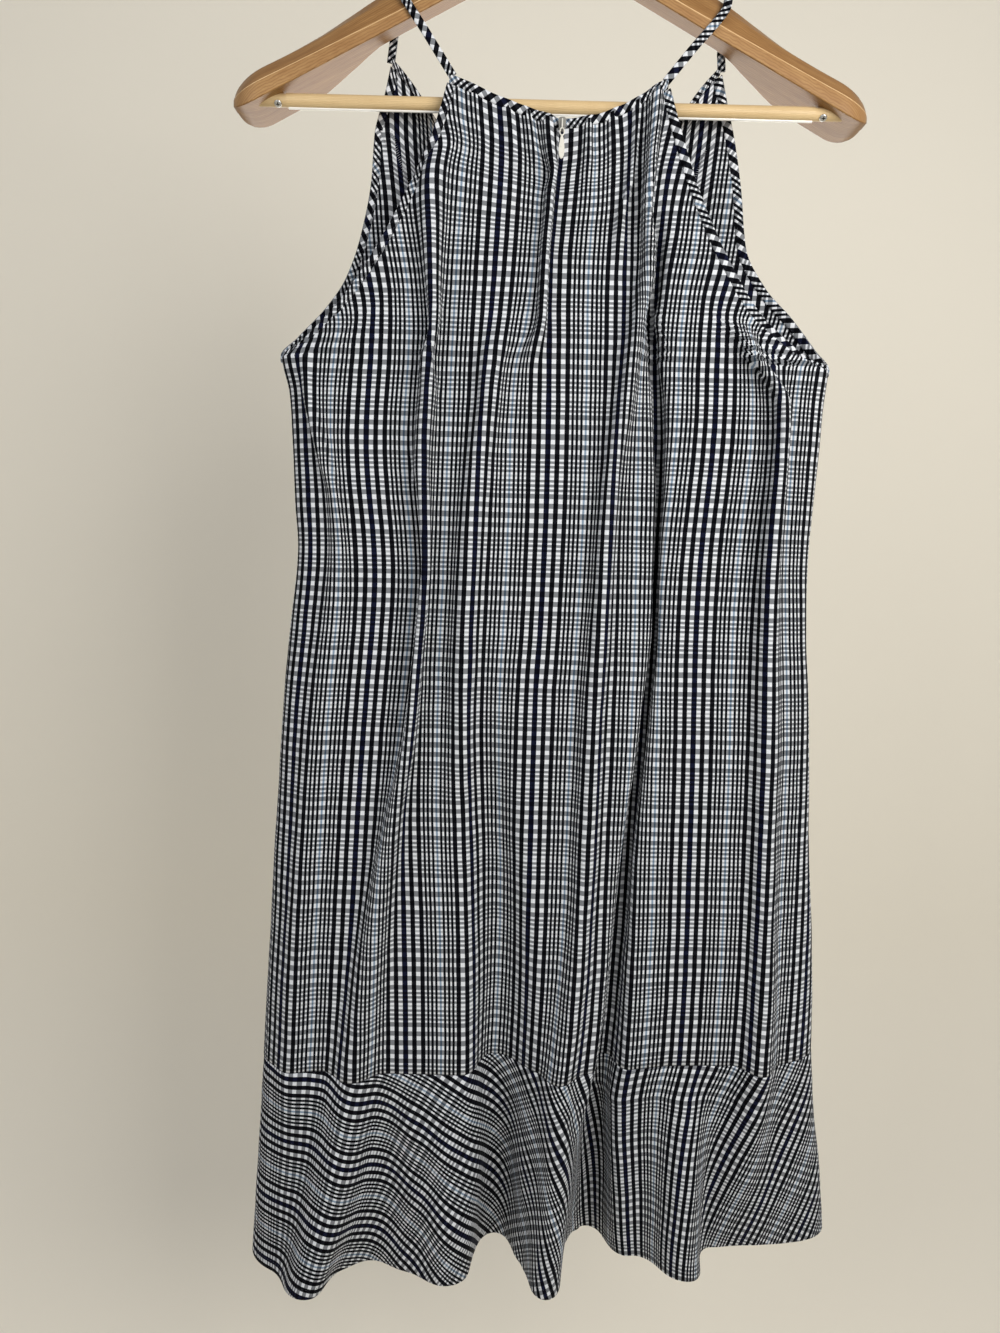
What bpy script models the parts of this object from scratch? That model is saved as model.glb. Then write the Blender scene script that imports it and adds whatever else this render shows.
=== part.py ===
"""Sleeveless checked dress on a wooden hanger.

The dress hangs back side forward (toward -Y). The origin is the inner top of the hanger's hook,
+Z is up and +X is to the right of someone who faces the dress's back. Sizes below are millimetres.
"""

import math

import bmesh
import bpy
import numpy as np
from mathutils import Vector

MM = 0.001

# Cloth sizes
WALL = 1.5
SEAM_GAP = 0.3
MIDDLE_GAP = 0.45
ARMHOLE_GAP = 0.6
NECK_GAP = 0.9
BINDING_WIDTH = 6.0
BINDING_WALL = 2.0
STRAP_WIDTH = 5.8
STRAP_WALL = 1.6
ARMPIT_Z = -362.0
PIT_RISE = 6.0
SAG_START = -700.0
SEAM_SAG = 0.18
SEAM_Z = -887.0
FLOUNCE_DEPTH = 172.0
FLOUNCE_RADIUS = 500.0

# Hanger sizes
HANGER_HALF = 222.0
HANGER_END_START = 200.0
BAR_Z = -190.5
BAR_RADIUS = 4.75
BAR_SHOULDER = 184.0
BAR_SLEEVE_WALL = 0.5
HOOK_WIRE = 2.0
HOOK_RADIUS = 18.0
SCREW_X = 189.0

# Which way a layer faces: the dress's back faces -Y, its front +Y
BACK_SIDE = -1
FRONT_SIDE = 1

OUTLINE_COLUMNS = ("z", "left", "centre", "right", "flat_left", "flat_right",
                   "out_left", "out_right", "turn", "run_left", "run_right")

# One row a height: where the left edge, the middle and the right edge hang (x), how much cloth
# lies left and right of the middle (flat), how far the edges stand out from the bar's plane,
# how steeply the cloth turns round the sides (degrees) and over what runs of cloth.
BACK_OUTLINE = (OUTLINE_COLUMNS, [
    (-176, -70, 7.5, 79, -88, 92, 13, 13, 0, 8, 8),
    (-201, -77, 7.5, 87, -97, 104, 13, 13, 0, 8, 8),
    (-219, -83, 6.5, 93, -108, 114, 13, 13, 0, 8, 8),
    (-259, -102, 4.5, 109, -130, 138, 13, 13, 0, 8, 8),
    (-296, -123, 3, 129, -157, 161, 12, 12, 0, 8, 8),
    (-326, -145, 3, 150, -185, 190, 10, 10, 15, 8, 8),
    (-345, -163, 3.5, 172, -207, 222, 7, 7, 40, 9, 9),
    (-355, -175, 3.7, 187, -219, 243, 4, 4, 62, 9, 9),
    (ARMPIT_Z, -187, 3.9, 204, -231, 268, 0, 0, 90, 9, 9),
    (-390, -181, 4.5, 202, -231, 269, 0, 0, 90, 10, 10),
    (-424, -179, 4.9, 201, -231, 269, 0, 0, 90, 11, 11),
    (-468, -177, 5, 199, -232, 268, 0, 0, 90, 12, 12),
    (-497, -175, 4.6, 198, -232, 267, 0, 0, 90, 12, 12),
    (-552, -180, 3.4, 200, -233, 266, 0, 0, 90, 13, 13),
    (-605, -185, 1.2, 205, -234, 267, 0, 0, 90, 15, 14),
    (-728, -193, 0.8, 214, -238, 274, -2, -1, 90, 19, 15),
    (-835, -199, 1.6, 223, -241, 283, -4, -2, 90, 23, 16),
    (SEAM_Z, -202, 1, 225, -243, 287, -5, -2, 90, 25, 17),
])

FRONT_OUTLINE = (OUTLINE_COLUMNS, [
    (-155, -112, 4, 119, -134, 141, 13, 13, 0, 8, 8),
    (-179, -117, 4, 125, -142, 150, 13, 13, 0, 8, 8),
    (-206, -124, 4, 132, -150, 159, 13, 13, 0, 8, 8),
    (-237, -126, 4, 138, -156, 168, 13, 13, 0, 8, 8),
    (-278, -134, 4, 144, -168, 178, 13, 13, 0, 8, 8),
    (-306, -144, 4, 160, -181, 198, 12, 12, 5, 8, 8),
    (-326, -157, 4, 179, -197, 219, 10, 10, 20, 8, 8),
    (-349, -177, 4, 196, -220, 244, 5, 5, 55, 9, 9),
    (ARMPIT_Z, -187, 4, 204, -236, 260, 0, 0, 90, 9, 9),
    (-390, -181, 4, 202, -237, 260, 0, 0, 90, 10, 10),
    (-424, -179, 5, 201, -237, 260, 0, 0, 90, 11, 11),
    (-468, -177, 6, 199, -237, 260, 0, 0, 90, 12, 12),
    (-497, -175, 7, 198, -237, 260, 0, 0, 90, 12, 12),
    (-552, -180, 8, 200, -238, 261, 0, 0, 90, 13, 13),
    (-605, -185, 8, 205, -240, 264, 0, 0, 90, 13, 13),
    (-728, -193, 9, 214, -244, 272, 2, 1, 90, 14, 14),
    (-835, -199, 10, 223, -250, 280, 4, 2, 90, 15, 15),
    (SEAM_Z, -202, 10, 225, -254, 286, 5, 2, 90, 16, 15),
])

# Flounces, one row a drop below their seam, after the seam's own row. Flat sizes are the seam's.
BACK_FLOUNCE = [
    (-60, -206, 2, 234, -243, 287, -7, -10, 90, 27, 15),
    (-120, -210, 2, 245, -243, 287, -9, -19, 90, 29, 13),
    (-FLOUNCE_DEPTH, -213, 1, 253, -243, 287, -11, -27, 90, 30, 11),
]

FRONT_FLOUNCE = [
    (-60, -206, 10, 234, -254, 286, 7, 10, 90, 15, 14),
    (-120, -210, 10, 245, -254, 286, 9, 19, 90, 14, 12),
    (-FLOUNCE_DEPTH, -213, 10, 253, -254, 286, 11, 27, 90, 13, 9),
]

# Heights of the rows of points on the body panels
BACK_HEIGHTS = [-176, -188, -204, -224, -248, -276, -304, -328, -346, -356, ARMPIT_Z, -378,
                -400, -430, -470, -520, -580, -645, -710, -770, -830, SEAM_Z]
FRONT_HEIGHTS = [-155, -168, -186, -210, -242, -276, -306, -332, -347, -356, ARMPIT_Z, -392,
                 -436, -490, -560, -640, -720, -800, SEAM_Z]

# Columns of points on the body panels keep their place on the cloth: how far from the middle each
# run of them starts and ends, and how many it has. Beside an armhole the outer ones close up.
COLUMN_RUNS = ("start", "end", "count")
BACK_LEFT_COLUMNS = (COLUMN_RUNS, [(0, 120, 20), (120, 236, 12)])
BACK_RIGHT_COLUMNS = (COLUMN_RUNS, [(0, 130, 22), (130, 276, 14)])
FRONT_COLUMNS = (COLUMN_RUNS, [(0, 120, 17), (120, 250, 13)])
STRAIGHT_SHARE = 0.75
FLOUNCE_ROWS = 5
BACK_FLOUNCE_COLUMNS = 71
FRONT_FLOUNCE_COLUMNS = 73

# Folds. Each row is a height on one fold: where its crest lies on the flat cloth, measured from
# the middle of the layer, how much cloth climbs to the crest from the left and falls from it on
# the right, and how far the crest stands out. A negative depth is a valley.
FOLD_COLUMNS = ("z", "place", "left_run", "right_run", "depth")

BACK_FOLDS = {
    "left pleat": [(-215, -100, 18, 18, 0), (-240, -103, 19, 19, 9), (-291, -105, 20, 20, 14.3),
                   (-331, -106, 20, 20, 14.9), (-392, -107, 21, 21, 15.3), (-497, -108, 21, 21, 16.5),
                   (-605, -110, 21, 22, 16.8), (-680, -120, 22, 22, 15), (-760, -133, 24, 24, 12.5),
                   (SEAM_Z, -150, 28, 28, 10)],
    "zip fold": [(-176, -12, 12, 12, 6), (-240, -12, 13, 13, 9.5), (-291, -12, 13, 13, 10),
                 (-331, -12, 13, 13, 9.5), (-375, -14, 13, 13, 0)],
    "left waist fold": [(-335, -44, 18, 18, 0), (-360, -46, 19, 19, 7), (-392, -48, 20, 20, 11.7),
                        (-440, -54, 20, 20, 10), (-497, -58, 20, 20, 8.7), (-560, -58, 20, 20, 8.5),
                        (-620, -58, 20, 20, 8), (-700, -66, 18, 18, 0)],
    "right neck fold": [(-176, 80, 12, 12, 6), (-250, 84, 18, 18, 12), (-291, 81, 20, 20, 13.8),
                        (-331, 73, 20, 20, 13.8), (-392, 62, 20, 20, 12.9), (-440, 53, 20, 20, 11.9),
                        (-497, 50, 20, 20, 11.2), (-560, 48, 20, 20, 9.5), (-640, 46, 20, 20, 9.5),
                        (-718, 46, 20, 20, 10.6), (-835, 40, 22, 22, 11), (SEAM_Z, 36, 24, 24, 12)],
    "right pleat": [(-255, 100, 17, 16, 0), (-291, 102, 19, 17, -9), (-331, 104, 20, 18, -14),
                    (-392, 107, 21, 20, -15.2), (-497, 113, 24, 22, -18.1), (-560, 113, 25, 24, -19),
                    (-605, 109, 25, 24, -19.3), (-718, 99, 26, 25, -20), (-780, 95, 27, 27, -21),
                    (SEAM_Z, 90, 27, 34, -24)],
    "left flute valley": [(-560, -38, 26, 24, 0), (-650, -36, 28, 28, -7), (-718, -34, 30, 34, -12),
                          (-800, -30, 34, 44, -17), (SEAM_Z, -28, 36, 54, -23)],
    "right armpit fold": [(-330, 176, 14, 12, 0), (-347, 186, 17, 16, 9), (-366, 202, 20, 20, 14),
                          (-392, 216, 22, 22, 16.5), (-440, 218, 22, 22, 15), (-497, 218, 22, 22, 13),
                          (-605, 218, 22, 22, 10), (-718, 220, 22, 22, 11), (-835, 224, 23, 23, 12.5),
                          (SEAM_Z, 226, 26, 24, 13)],
    "left armpit fold": [(-355, -207, 8, 8, 0), (-385, -206, 11, 11, 6), (-410, -200, 13, 13, 9),
                         (-440, -192, 14, 14, 10), (-463, -188, 14, 14, 8), (-520, -190, 16, 16, 5),
                         (-600, -194, 18, 18, 4), (SEAM_Z, -205, 20, 20, 3)],
    "short gather fold": [(-176, 62, 8, 8, 4), (-240, 55, 9, 9, 6), (-262, 50, 9, 9, 5),
                          (-300, 46, 9, 9, 0)],
}

FRONT_FOLDS = {
    "left shoulder fold": [(-155, -96, 12, 12, 4), (-240, -98, 16, 16, 9), (-360, -104, 20, 20, 12),
                           (-500, -112, 22, 22, 13), (-640, -128, 24, 24, 12), (SEAM_Z, -150, 28, 28, 11)],
    "left flute": [(-480, -66, 18, 18, 0), (-640, -76, 24, 24, 6), (SEAM_Z, -92, 28, 28, 9)],
    "left bust fold": [(-155, -52, 10, 10, 5), (-260, -46, 15, 15, 9), (-380, -38, 19, 19, 11),
                       (-520, -28, 22, 22, 8), (-660, -30, 24, 24, 6), (SEAM_Z, -36, 27, 27, 8)],
    "middle fold": [(-155, 12, 9, 9, 5), (-300, 16, 13, 13, 8), (-420, 18, 18, 18, 9),
                    (-600, 18, 22, 22, 7), (SEAM_Z, 18, 26, 26, 9)],
    "right bust fold": [(-155, 58, 11, 11, 5), (-270, 56, 16, 16, 10), (-400, 60, 20, 20, 12),
                        (-540, 64, 22, 22, 9), (-680, 68, 24, 24, 7), (SEAM_Z, 72, 27, 27, 8)],
    "right flute": [(-480, 100, 18, 18, 0), (-640, 116, 24, 24, 6), (SEAM_Z, 128, 28, 28, 9)],
    "right shoulder fold": [(-155, 104, 12, 12, 4), (-250, 106, 16, 16, 9), (-370, 118, 20, 20, 13),
                            (-520, 146, 22, 22, 13), (-660, 168, 25, 25, 12), (SEAM_Z, 186, 28, 28, 11)],
    "left side fold": [(-350, -196, 10, 10, 0), (-400, -194, 14, 14, 8), (-480, -190, 16, 16, 6),
                       (-620, -192, 18, 18, 4), (-760, -200, 20, 20, 4), (SEAM_Z, -206, 24, 24, 6)],
    "right side fold": [(-350, 214, 12, 12, 0), (-410, 212, 15, 15, 9), (-500, 208, 18, 18, 6),
                        (-600, 216, 18, 18, 4), (-760, 230, 22, 22, 4), (SEAM_Z, 240, 26, 24, 7)],
}

# Below the seam each fold runs on into its flounce. Places and runs are the cloth's at the seam.
BACK_FLOUNCE_FOLDS = {
    "left pleat": [(-90, -166, 34, 28, 15), (-172, -176, 36, 30, 26)],
    "left panel wave": [(0, -120, 16, 16, 0), (-60, -124, 24, 24, -5), (-172, -128, 28, 30, -11)],
    "left panel crest": [(0, -80, 16, 16, 0), (-60, -80, 20, 20, 3), (-172, -76, 26, 26, 10)],
    "left flute valley": [(-90, -27, 42, 50, -30), (-172, -25, 46, 52, -36)],
    "right neck fold": [(-90, 36, 24, 24, 19), (-172, 37, 26, 26, 31)],
    "right pleat": [(-90, 91, 44, 38, -32), (-172, 92, 50, 44, -36)],
    "right flute": [(0, 164, 18, 18, 0), (-60, 174, 30, 26, 13), (-172, 178, 38, 32, 34)],
    "right armpit fold": [(-90, 226, 26, 24, 7), (-172, 226, 26, 24, 0)],
    "left armpit fold": [(-60, -206, 20, 18, 0)],
}

FRONT_FLOUNCE_FOLDS = {
    "left side fold": [(-172, -206, 28, 28, 16)],
    "left shoulder fold": [(-172, -150, 28, 28, 22)],
    "left flute": [(-172, -93, 28, 28, 22)],
    "left bust fold": [(-172, -37, 28, 28, 22)],
    "middle fold": [(-172, 18, 28, 28, 22)],
    "right bust fold": [(-172, 73, 28, 28, 22)],
    "right flute": [(-172, 128, 28, 28, 22)],
    "right shoulder fold": [(-172, 184, 28, 28, 22)],
    "right side fold": [(-172, 240, 28, 24, 20)],
}

# Small gathers run down from the neck bindings: place on the flat cloth, run, depth and length
GATHER_COLUMNS = ("place", "run", "depth", "length")
BACK_GATHERS = (GATHER_COLUMNS, [(-70, 7, 2.0, 60), (-46, 7, 2.5, 80), (-30, 7, 3.5, 60),
                                 (20, 7, 3.5, 90), (40, 7, 3.0, 70)])
FRONT_GATHERS = (GATHER_COLUMNS, [(-76, 12, 5.0, 120), (-22, 12, 5.0, 150), (34, 10, 4.0, 130),
                                  (82, 12, 5.0, 120)])

# The flounce's seam doesn't hang level: how much higher it is at each x
SEAM_TILT = [(-202, -5), (-180, -4), (-150, 0), (40, 0), (70, 4), (110, 10), (225, 11)]

# Necklines: x and z of the bound edge
BACK_NECK = [(-70, -176), (-66, -177), (-35, -190), (8, -205), (36, -199), (60, -188), (79, -176)]
FRONT_NECK = [(-112, -155), (-98, -170), (-84, -190), (-60, -219), (-30, -240), (4, -247),
              (38, -240), (68, -219), (92, -190), (105, -170), (119, -155)]
BACK_NECK_FADE = 130.0
FRONT_NECK_FADE = 190.0

# Hanger sections, one row a distance from the middle: the underside, the ridge along the front
# and the crest of the wood (z), and its front and rear faces (y)
HANGER_COLUMNS = ("x", "under", "ridge", "crest", "front", "rear")
HANGER_SECTIONS = (HANGER_COLUMNS, [
    (0, -92, -81, -63, -10, 8), (10, -94, -84, -66, -10, 8), (40, -109, -102, -81.5, -10, 8),
    (80, -130, -122.5, -102, -10, 8), (115, -148.5, -140, -120.5, -10, 8),
    (140, -161.7, -152.5, -133.5, -10.5, 21), (165, -175, -165, -146.5, -11, 34),
    (185, -185.5, -175, -157, -11.5, 36), (200, -193.5, -182.5, -164.5, -12, 36),
    (HANGER_HALF, -205, -193.5, -176, -12, 36),
])
UNDER_SLOPE = 0.53
UNDER_AT_TIP = -141.5
UNDER_TIP_X = 101.0

MATERIALS = {
    "check_cloth": ((0.20, 0.22, 0.27, 1.0), 0.85, 0.0),
    "binding_cloth": ((0.08, 0.09, 0.13, 1.0), 0.85, 0.0),
    "beech_wood": ((0.56, 0.33, 0.15, 1.0), 0.45, 0.0),
    "pale_dowel": ((0.78, 0.60, 0.36, 1.0), 0.4, 0.0),
    "bright_metal": ((0.72, 0.72, 0.72, 1.0), 0.25, 1.0),
    "ivory_enamel": ((0.85, 0.84, 0.80, 1.0), 0.35, 0.0),
}


def clear_scene():
    for old in list(bpy.data.objects):
        bpy.data.objects.remove(old, do_unlink=True)


def make_material(name):
    colour, roughness, metallic = MATERIALS[name]
    material = bpy.data.materials.get(name) or bpy.data.materials.new(name)
    material.use_nodes = True
    shader = material.node_tree.nodes["Principled BSDF"]
    shader.inputs["Base Color"].default_value = colour
    shader.inputs["Roughness"].default_value = roughness
    shader.inputs["Metallic"].default_value = metallic
    material.diffuse_color = colour
    return material


def add_object(name, verts, faces, material, smooth=True):
    """Makes one closed solid from points in millimetres."""
    mesh = bpy.data.meshes.new(name)
    mesh.from_pydata([tuple(c * MM for c in v) for v in verts], [], faces)
    shell = bmesh.new()
    shell.from_mesh(mesh)
    bmesh.ops.recalc_face_normals(shell, faces=shell.faces)
    shell.to_mesh(mesh)
    shell.free()
    mesh.materials.append(make_material(material))
    obj = bpy.data.objects.new(name, mesh)
    bpy.context.collection.objects.link(obj)
    if smooth:
        mesh.shade_smooth()
        mesh.set_sharp_from_angle(angle=math.radians(40))
    return obj


def smooth_read(rows, column, z):
    """Reads one column of a table at height z, on a smooth curve through its rows."""
    zs = np.array([row[0] for row in rows], float)
    values = np.array([row[column] for row in rows], float)
    if zs[0] > zs[-1]:
        zs = -zs
        z = -z
    z = min(max(z, zs[0]), zs[-1])
    slopes = np.zeros(len(zs))
    steps = np.diff(values) / np.diff(zs)
    for i in range(1, len(zs) - 1):
        if steps[i - 1] * steps[i] > 0:
            slopes[i] = 2.0 / (1.0 / steps[i - 1] + 1.0 / steps[i])
    slopes[0] = steps[0]
    slopes[-1] = steps[-1]
    i = int(min(max(np.searchsorted(zs, z) - 1, 0), len(zs) - 2))
    run = zs[i + 1] - zs[i]
    t = (z - zs[i]) / run
    start = (1 + 2 * t) * (1 - t) ** 2 * values[i] + t * (1 - t) ** 2 * run * slopes[i]
    end = t * t * (3 - 2 * t) * values[i + 1] + t * t * (t - 1) * run * slopes[i + 1]
    return start + end


def table_read(table, name, z):
    names, rows = table
    return float(smooth_read(rows, names.index(name), z))


def ease(t):
    t = np.clip(t, 0.0, 1.0)
    return t * t * (3 - 2 * t)


# The steepest that cloth leans in a fold, past upright, so that a fold never closes on itself
STEEPEST = math.radians(116)

# How far a run of cloth rises when its slope swells to an angle and dies away again
SWELLS = np.linspace(0.0, 2.0, 41)
SWELL_RISES = np.array([np.mean(np.sin(a * np.sin(np.linspace(0, math.pi, 181)))) for a in SWELLS])


def swell(depth, run):
    return math.copysign(float(np.interp(abs(depth) / run, SWELL_RISES, SWELLS)), depth)


def fold_angles(flat, folds, gathers, z, top):
    """Slope of the cloth at each flat place, from every fold that reaches this height."""
    angle = np.zeros_like(flat)
    crests = []
    for rows in folds.values():
        place, left_run, right_run, depth = (
            float(smooth_read(rows, c, z)) for c in range(1, len(FOLD_COLUMNS)))
        if z > rows[0][0] and rows[0][4] == 0 or z < rows[-1][0] and rows[-1][4] == 0:
            depth = 0.0
        crests.append((place, left_run, right_run, depth))
    for place, run, depth, length in gathers:
        crests.append((place, run, run, depth * (1 - ease((top - z) / length))))
    for place, left_run, right_run, depth in crests:
        if abs(depth) < 0.05:
            continue
        up = (flat - place + left_run) / left_run
        down = (flat - place) / right_run
        angle += np.where((up > 0) & (up < 1), swell(depth, left_run) * np.sin(np.pi * up), 0)
        angle -= np.where((down > 0) & (down < 1), swell(depth, right_run) * np.sin(np.pi * down), 0)
    return angle


# How much cloth each side of the middle the folds of both halves share one strength over, and how
# many points the section of each half is worked out at
BLEND_RUN = 26.0
SECTION_POINTS = 241


def half_across(flat, turn, folds, strength, shared):
    """Slope along half a layer, and how wide it then hangs."""
    own = ease(np.abs(flat) / BLEND_RUN)
    angle = turn + STEEPEST * np.tanh(folds * (strength * own + shared * (1 - own)) / STEEPEST)
    middle = (angle[1:] + angle[:-1]) / 2
    return angle, float(np.sum(np.cos(middle) * np.diff(flat)))


def fit_strength(flat, turn, folds, width, shared):
    """Deepens or eases the folds until this half hangs as wide as it should, at its flat length."""
    low, high = 0.0, 3.0
    for _ in range(22):
        guess = (low + high) / 2
        if half_across(flat, turn, folds, guess, shared)[1] > width:
            low = guess
        else:
            high = guess
    return (low + high) / 2


def lay_half(flat, turn, folds, width, strength, shared):
    angle, reached = half_across(flat, turn, folds, strength, shared)
    middle = (angle[1:] + angle[:-1]) / 2
    step = np.diff(flat)
    x = np.concatenate([[0], np.cumsum(np.cos(middle) * step)]) * (width / reached)
    out = np.concatenate([[0], np.cumsum(np.sin(middle) * step)])
    return angle, x, out


class Layer:
    """One layer of the dress: a section of cloth at every height, kept at its flat length."""

    def __init__(self, side, outline, folds, gathers=(), neck=None, neck_fade=1.0, radius=None):
        self.side = side
        self.outline = outline
        self.folds = folds
        self.gathers = gathers[1] if gathers else ()
        self.neck = neck
        self.neck_fade = neck_fade
        self.radius = radius
        self.top = outline[1][0][0]
        self.sections = {}

    def section(self, z):
        """Flat place, x, distance out, slope and rise above the edges, along the cloth at one height."""
        if z in self.sections:
            return self.sections[z]
        flat_left = table_read(self.outline, "flat_left", z)
        flat_right = table_read(self.outline, "flat_right", z)
        spread = 1.0 if self.radius is None else 1.0 - z / self.radius
        turn = math.radians(table_read(self.outline, "turn", z))
        run_left = table_read(self.outline, "run_left", z)
        run_right = table_read(self.outline, "run_right", z)
        left_x = table_read(self.outline, "left", z)
        centre_x = table_read(self.outline, "centre", z)
        right_x = table_read(self.outline, "right", z)
        halves = []
        for start, end, width in ((flat_left, 0.0, centre_x - left_x), (0.0, flat_right, right_x - centre_x)):
            places = np.linspace(start, end, SECTION_POINTS)
            flat = places * spread
            turning = turn * np.exp(-(flat - flat_left * spread) / run_left)
            turning = turning - turn * np.exp(-(flat_right * spread - flat) / run_right)
            # The folds' runs are flat sizes at the seam, so their slopes are read from there
            folding = fold_angles(places, self.scaled_folds(spread), self.gathers, z, self.top)
            halves.append((places, flat, turning, folding, width))
        shared = 1.0
        for _ in range(5):
            strengths = [fit_strength(*half[1:], shared) for half in halves]
            shared = sum(strengths) / 2
        halves = [(half[0],) + lay_half(*half[1:], strength, shared)
                  for half, strength in zip(halves, strengths)]
        left, right = halves
        flat = np.concatenate([left[0], right[0][1:]])
        angle = np.concatenate([left[1], right[1][1:]])
        x = np.concatenate([left[2] + left_x, right[2][1:] + centre_x])
        out = np.concatenate([left[3], right[3][1:] + left[3][-1]])
        start_out = table_read(self.outline, "out_left", z)
        end_out = table_read(self.outline, "out_right", z)
        share = (flat - flat_left) / (flat_right - flat_left)
        out = out + start_out + (end_out - start_out - out[-1]) * share
        rise = out - start_out - (end_out - start_out) * share
        self.sections[z] = (flat, x, out, angle, rise)
        return self.sections[z]

    def scaled_folds(self, spread):
        """A flounce's cloth spreads below its seam, so a fold needs less slope for its depth."""
        if spread == 1.0:
            return self.folds
        return {name: [row[:4] + (row[4] / spread,) for row in rows] for name, rows in self.folds.items()}

    def drop(self, x, z, rise):
        """How far a point of the row hangs below the row's own height."""
        low = np.zeros_like(x)
        if self.neck is not None:
            low = np.interp(x, [p[0] for p in self.neck], [p[1] for p in self.neck]) - self.top
            low = low * (1 - ease((self.top - z) / self.neck_fade))
        if self.radius is None:
            tilt = np.interp(x, [p[0] for p in SEAM_TILT], [p[1] for p in SEAM_TILT])
            low = low + (tilt - SEAM_SAG * rise) * ease((SAG_START - z) / (SAG_START - SEAM_Z))
        return low

    def neck_stretch(self, x):
        """How much longer a straight drop from the neck edge is than the gap that it crosses squarely."""
        xs, zs = [p[0] for p in self.neck], [p[1] for p in self.neck]
        slope = (np.interp(x + 4.0, xs, zs) - np.interp(x - 4.0, xs, zs)) / 8.0
        return np.sqrt(1.0 + slope * slope)

    def row(self, flat, z):
        """Points and outward directions for flat places along one row."""
        places, xs, outs, angles, rises = self.section(z)
        x = np.interp(flat, places, xs)
        out = np.interp(flat, places, outs)
        rise = np.interp(flat, places, rises)
        angle = np.interp(flat, places, angles)
        points = np.stack([x, self.side * out, z + self.drop(x, z, rise)], axis=-1)
        faces_out = np.stack([-np.sin(angle), self.side * np.cos(angle), np.zeros_like(x)], axis=-1)
        return points, faces_out

    def edge(self, z, right):
        return table_read(self.outline, "flat_right" if right else "flat_left", z)

    def inward(self, z, right):
        """Direction on the flat cloth, square to the armhole's edge and into the panel."""
        if z <= ARMPIT_Z:
            return 0.0, -1.0
        step = 2.0
        slope = (self.edge(z + step, right) - self.edge(z - step, right)) / (2 * step)
        across = -1.0 if right else 1.0
        length = math.hypot(1.0, slope)
        into = (across / length, -abs(slope) / length)
        near_pit = float(ease((z - ARMPIT_Z) / PIT_RISE))
        return into[0] * near_pit, into[1] * near_pit - (1 - near_pit)

    def armhole_point(self, z, right, inset):
        """A point of the armhole's edge, set a distance into the panel, and its outward direction."""
        across, down = self.inward(z, right)
        flat = np.array([self.edge(z, right) + across * inset])
        point, faces_out = self.row(flat, z)
        return point[0] + np.array([0, 0, down * inset]), faces_out[0]


def flounce_layer(body, outline, folds):
    """A flounce starts from its body layer's own section at the seam."""
    names, rows = body.outline
    seam = (0,) + rows[-1][1:]
    going_on = {}
    for name, lower in folds.items():
        above = body.folds.get(name)
        going_on[name] = [(0,) + above[-1][1:]] + lower if above else lower
    return Layer(body.side, (names, [seam] + outline), going_on, radius=FLOUNCE_RADIUS)


def wall_faces(rows, cols):
    """Quads of a wall: its outer grid, its inner grid and the rim between them."""
    count = rows * cols

    def at(j, i, inner):
        return j * cols + i + (count if inner else 0)

    faces = []
    for j in range(rows - 1):
        for i in range(cols - 1):
            faces.append((at(j, i, 0), at(j + 1, i, 0), at(j + 1, i + 1, 0), at(j, i + 1, 0)))
            faces.append((at(j, i, 1), at(j, i + 1, 1), at(j + 1, i + 1, 1), at(j + 1, i, 1)))
    rim = [(0, i) for i in range(cols)] + [(j, cols - 1) for j in range(1, rows)]
    rim += [(rows - 1, i) for i in range(cols - 2, -1, -1)] + [(j, 0) for j in range(rows - 2, 0, -1)]
    for here, there in zip(rim, rim[1:] + rim[:1]):
        faces.append((at(*here, 0), at(*there, 0), at(*there, 1), at(*here, 1)))
    return faces


def add_wall(name, points, faces_out, thickness, material):
    """A cloth wall on both sides of a grid of points."""
    rows, cols, _ = points.shape
    outer = (points + faces_out * thickness / 2).reshape(-1, 3)
    inner = (points - faces_out * thickness / 2).reshape(-1, 3)
    return add_object(name, np.concatenate([outer, inner]), wall_faces(rows, cols), material)


# How far below the neck the panel's rows still make room for the binding, and how far across a
# row they start to sink toward the armhole's edge
NECK_INSET_FADE = 60.0
SINK_FROM = 0.6


def leave_seam(points, faces_out, at_start, at_end):
    """Draws the edge on the middle seam back along the cloth by half the seam's gap."""
    for here, at_seam, hand in ((0, at_start, 1), (-1, at_end, -1)):
        if at_seam:
            out = faces_out[here]
            along = np.array([abs(out[1]), -out[0] * out[1] / max(abs(out[1]), 1e-6), 0.0])
            points[here] += hand * along * MIDDLE_GAP / 2


def column_places(runs, left):
    """Places on the flat cloth of the columns on one side, from the middle outward."""
    places = [0.0]
    for start, end, count in runs[1]:
        places += [start + (end - start) * (i + 1) / count for i in range(count)]
    return np.array(places) * (-1 if left else 1)


def close_up(places, edge):
    """Keeps the inner columns where they are and spaces the outer ones evenly up to the edge."""
    far = np.abs(places)
    start = STRAIGHT_SHARE * abs(edge)
    outer = start + (far - start) / (far.max() - start) * (abs(edge) - start)
    return np.where(far <= start, far, outer) * math.copysign(1.0, edge)


def lay_columns(left_runs, right_runs, left_edge, right_edge):
    """Flat places of a whole row of columns. A panel on one side of the middle has one set of runs."""
    row = []
    if left_runs:
        row = list(close_up(column_places(left_runs, True), left_edge)[::-1])
    if right_runs:
        row += list(close_up(column_places(right_runs, False), right_edge)[1 if row else 0:])
    return np.array(row)


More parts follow.
